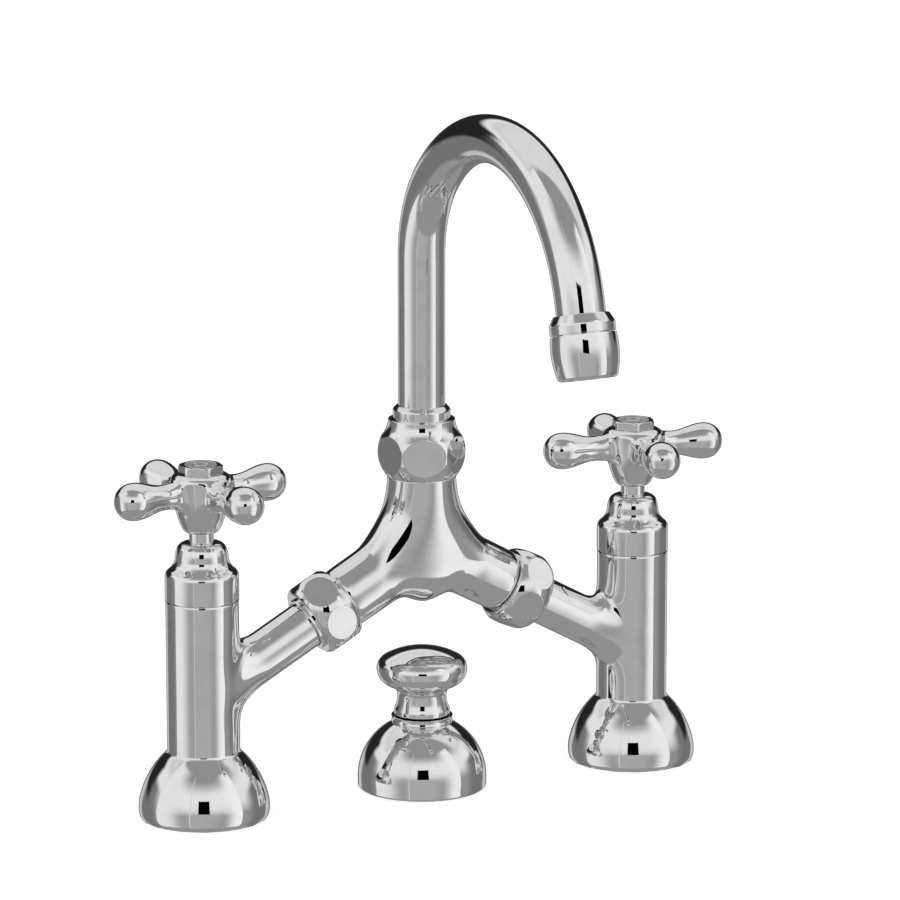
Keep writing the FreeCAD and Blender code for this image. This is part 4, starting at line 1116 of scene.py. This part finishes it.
@dataclass
class Studio:
    """Soft grey tent with two light walls, a pale floor and the camera."""

    azimuth: float = 26.5
    elevation: float = 12.4
    distance: float = 2063.7
    pivot: tuple[float, float, float] = (0.0, 0.0, 130.0)
    aim: tuple[float, float, float] = (11.8, -2.7, 143.1)
    lens: float = 199.1
    sensor: float = 36.0
    sight: float = 100000.0
    floor_radius: float = 30000.0
    floor_colour: tuple[float, float, float, float] = (0.85, 0.85, 0.85, 1)
    floor_roughness: float = 0.9
    floor_glow: float = 0.6
    walls: float = 0.33
    panels: tuple[Panel, ...] = (
        Panel(-180, 180, 19, 30, 0.9, level_fade=22),
        Panel(108, 252, -40, 14, 0.2, 26, 26, 8),
        Panel(100, 260, 46, 90, 0.8, 20, 20, 14),
        Panel(-88, -72, -34, 56, 0.9, 4, 42),
        Panel(64, 72, -34, 50, 1.0, 30, 2),
        Panel(-14, 14, -34, 4, 0.46, 34, 34),
        Panel(142, 154, -34, -2, 0.6, 6, 6),
        Panel(206, 218, -34, -2, 0.6, 6, 6),
        Panel(126, 234, 4, 25, 0.02, 14, 14, 7),
        Panel(-23.5, -22.5, -34, 50, 0.75, 0.5, 0.5),
        Panel(-8, 12, 8, 25, 0.0, 0.8, 0.8, 0.8),
    )

    def build(self) -> None:
        """Make the light, the floor and the camera, and show the tones as they are."""
        bpy.context.scene.view_settings.view_transform = "Standard"
        self._tent()
        self._floor()
        self._camera()

    def _tent(self) -> None:
        """Paint the tent's walls as the world's light."""
        world = bpy.data.worlds.new("studio_tent")
        bpy.context.scene.world = world
        world.use_nodes = True
        nodes = world.node_tree.nodes
        wiring = Wiring(world.node_tree)
        place = wiring.add("TexCoord", {}).outputs["Generated"]
        turn = {"Vector": place, "Angle": math.radians(self.azimuth)}
        facing = wiring.add("VectorRotate", turn, rotation_type="Z_AXIS").outputs["Vector"]
        ray = wiring.add("SeparateXYZ", {"Vector": facing}).outputs
        around = wiring.calc("ARCTAN2", ray["X"], wiring.calc("MULTIPLY", ray["Y"], -1.0))
        up = wiring.calc("ARCSINE", ray["Z"])
        light = self.walls
        for panel in self.panels:
            light = self._panel(wiring, light, around, up, panel)
        tent = wiring.fill(nodes["Background"], {"Color": light}).outputs["Background"]
        paper = wiring.add("Background", {"Color": WHITE}).outputs["Background"]
        seen = wiring.add("LightPath", {}).outputs["Is Camera Ray"]
        mix = wiring.add("MixShader", {"Fac": seen, 1: tent, 2: paper}).outputs["Shader"]
        wiring.fill(nodes["World Output"], {"Surface": mix})

    @staticmethod
    def _panel(wiring: Wiring, light: bpy.types.NodeSocket | float, around: bpy.types.NodeSocket,
               up: bpy.types.NodeSocket, panel: Panel) -> bpy.types.NodeSocket:
        """Lay one panel over the walls painted so far.

        Args:
            wiring: The world's nodes.
            light: Brightness so far.
            around: Azimuth of the ray, in radians.
            up: Elevation of the ray, in radians.
            panel: The panel.

        Returns:
            The socket with the new brightness.
        """
        middle = math.radians(panel.left + panel.right) / 2
        offset = wiring.calc("WRAP", wiring.calc("SUBTRACT", around, middle), math.pi, -math.pi)
        half = (panel.right - panel.left) / 2
        sides = ((offset, -half, -panel.left_fade), (offset, half, panel.right_fade),
                 (up, panel.bottom, -panel.level_fade), (up, panel.top, panel.level_fade))
        share = 1.0
        for angle, limit, fade in sides:
            ramp = wiring.add("MapRange", {
                "Value": angle, "From Min": math.radians(limit), "From Max": math.radians(limit + fade),
                "To Min": 1.0, "To Max": 0.0}, interpolation_type="SMOOTHSTEP")
            share = wiring.calc("MULTIPLY", share, ramp.outputs["Result"])
        return wiring.add("Mix", {"Factor": share, "A": light, "B": panel.light}).outputs["Result"]

    def _floor(self) -> None:
        """Lay a wide pale floor that the polished metal doesn't mirror."""
        mesh = bmesh.new()
        bmesh.ops.create_circle(mesh, cap_ends=True, segments=TURN_STEPS, radius=self.floor_radius * MM)
        data = bpy.data.meshes.new("floor")
        mesh.to_mesh(data)
        mesh.free()
        paint = bpy.data.materials.new("floor_paper")
        paint.use_nodes = True
        Wiring(paint.node_tree).fill(paint.node_tree.nodes["Principled BSDF"], {
            "Base Color": self.floor_colour, "Roughness": self.floor_roughness,
            "Emission Color": WHITE, "Emission Strength": self.floor_glow,
        })
        data.materials.append(paint)
        floor = bpy.data.objects.new("floor", data)
        bpy.context.scene.collection.objects.link(floor)
        floor.visible_glossy = False

    def _camera(self) -> None:
        """Look at the tap from the photograph's side."""
        data = bpy.data.cameras.new("camera")
        data.sensor_width = self.sensor
        data.lens = self.lens
        data.clip_end = self.sight * MM
        camera = bpy.data.objects.new("camera", data)
        bpy.context.scene.collection.objects.link(camera)
        turn, rise = math.radians(self.azimuth), math.radians(self.elevation)
        back = Vector((-math.sin(turn) * math.cos(rise), -math.cos(turn) * math.cos(rise), math.sin(rise)))
        camera.location = (Vector(self.pivot) + back * self.distance) * MM
        gaze = Vector(self.aim) * MM - camera.location
        camera.rotation_euler = gaze.to_track_quat("-Z", "Y").to_euler()
        bpy.context.scene.camera = camera


def dress_nodes() -> None:
    """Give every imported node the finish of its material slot."""
    for part in frame["record"]["subparts"]:
        node = frame["nodes"][part["node"]]
        for slot in node.material_slots:
            slot.material = FINISHES[part["material_slot"]].material
    LOG.info("%d packed nodes dressed", len(frame["nodes"]))


def main() -> None:
    """Build the tap's looks and the studio in order."""
    logging.basicConfig(level=logging.INFO, format="%(message)s")
    dress_nodes()
    Pillar(Side.HOT, nut_turn=36.0).build()
    Pillar(Side.COLD, nut_turn=9.0).build()
    CrossHandle(Side.HOT, angle=9.0).build()
    CrossHandle(Side.COLD, angle=-7.0).build()
    Bridge().build()
    Spout().build()
    PopUp().build()
    Studio().build()


if __name__ == "__main__":
    main()
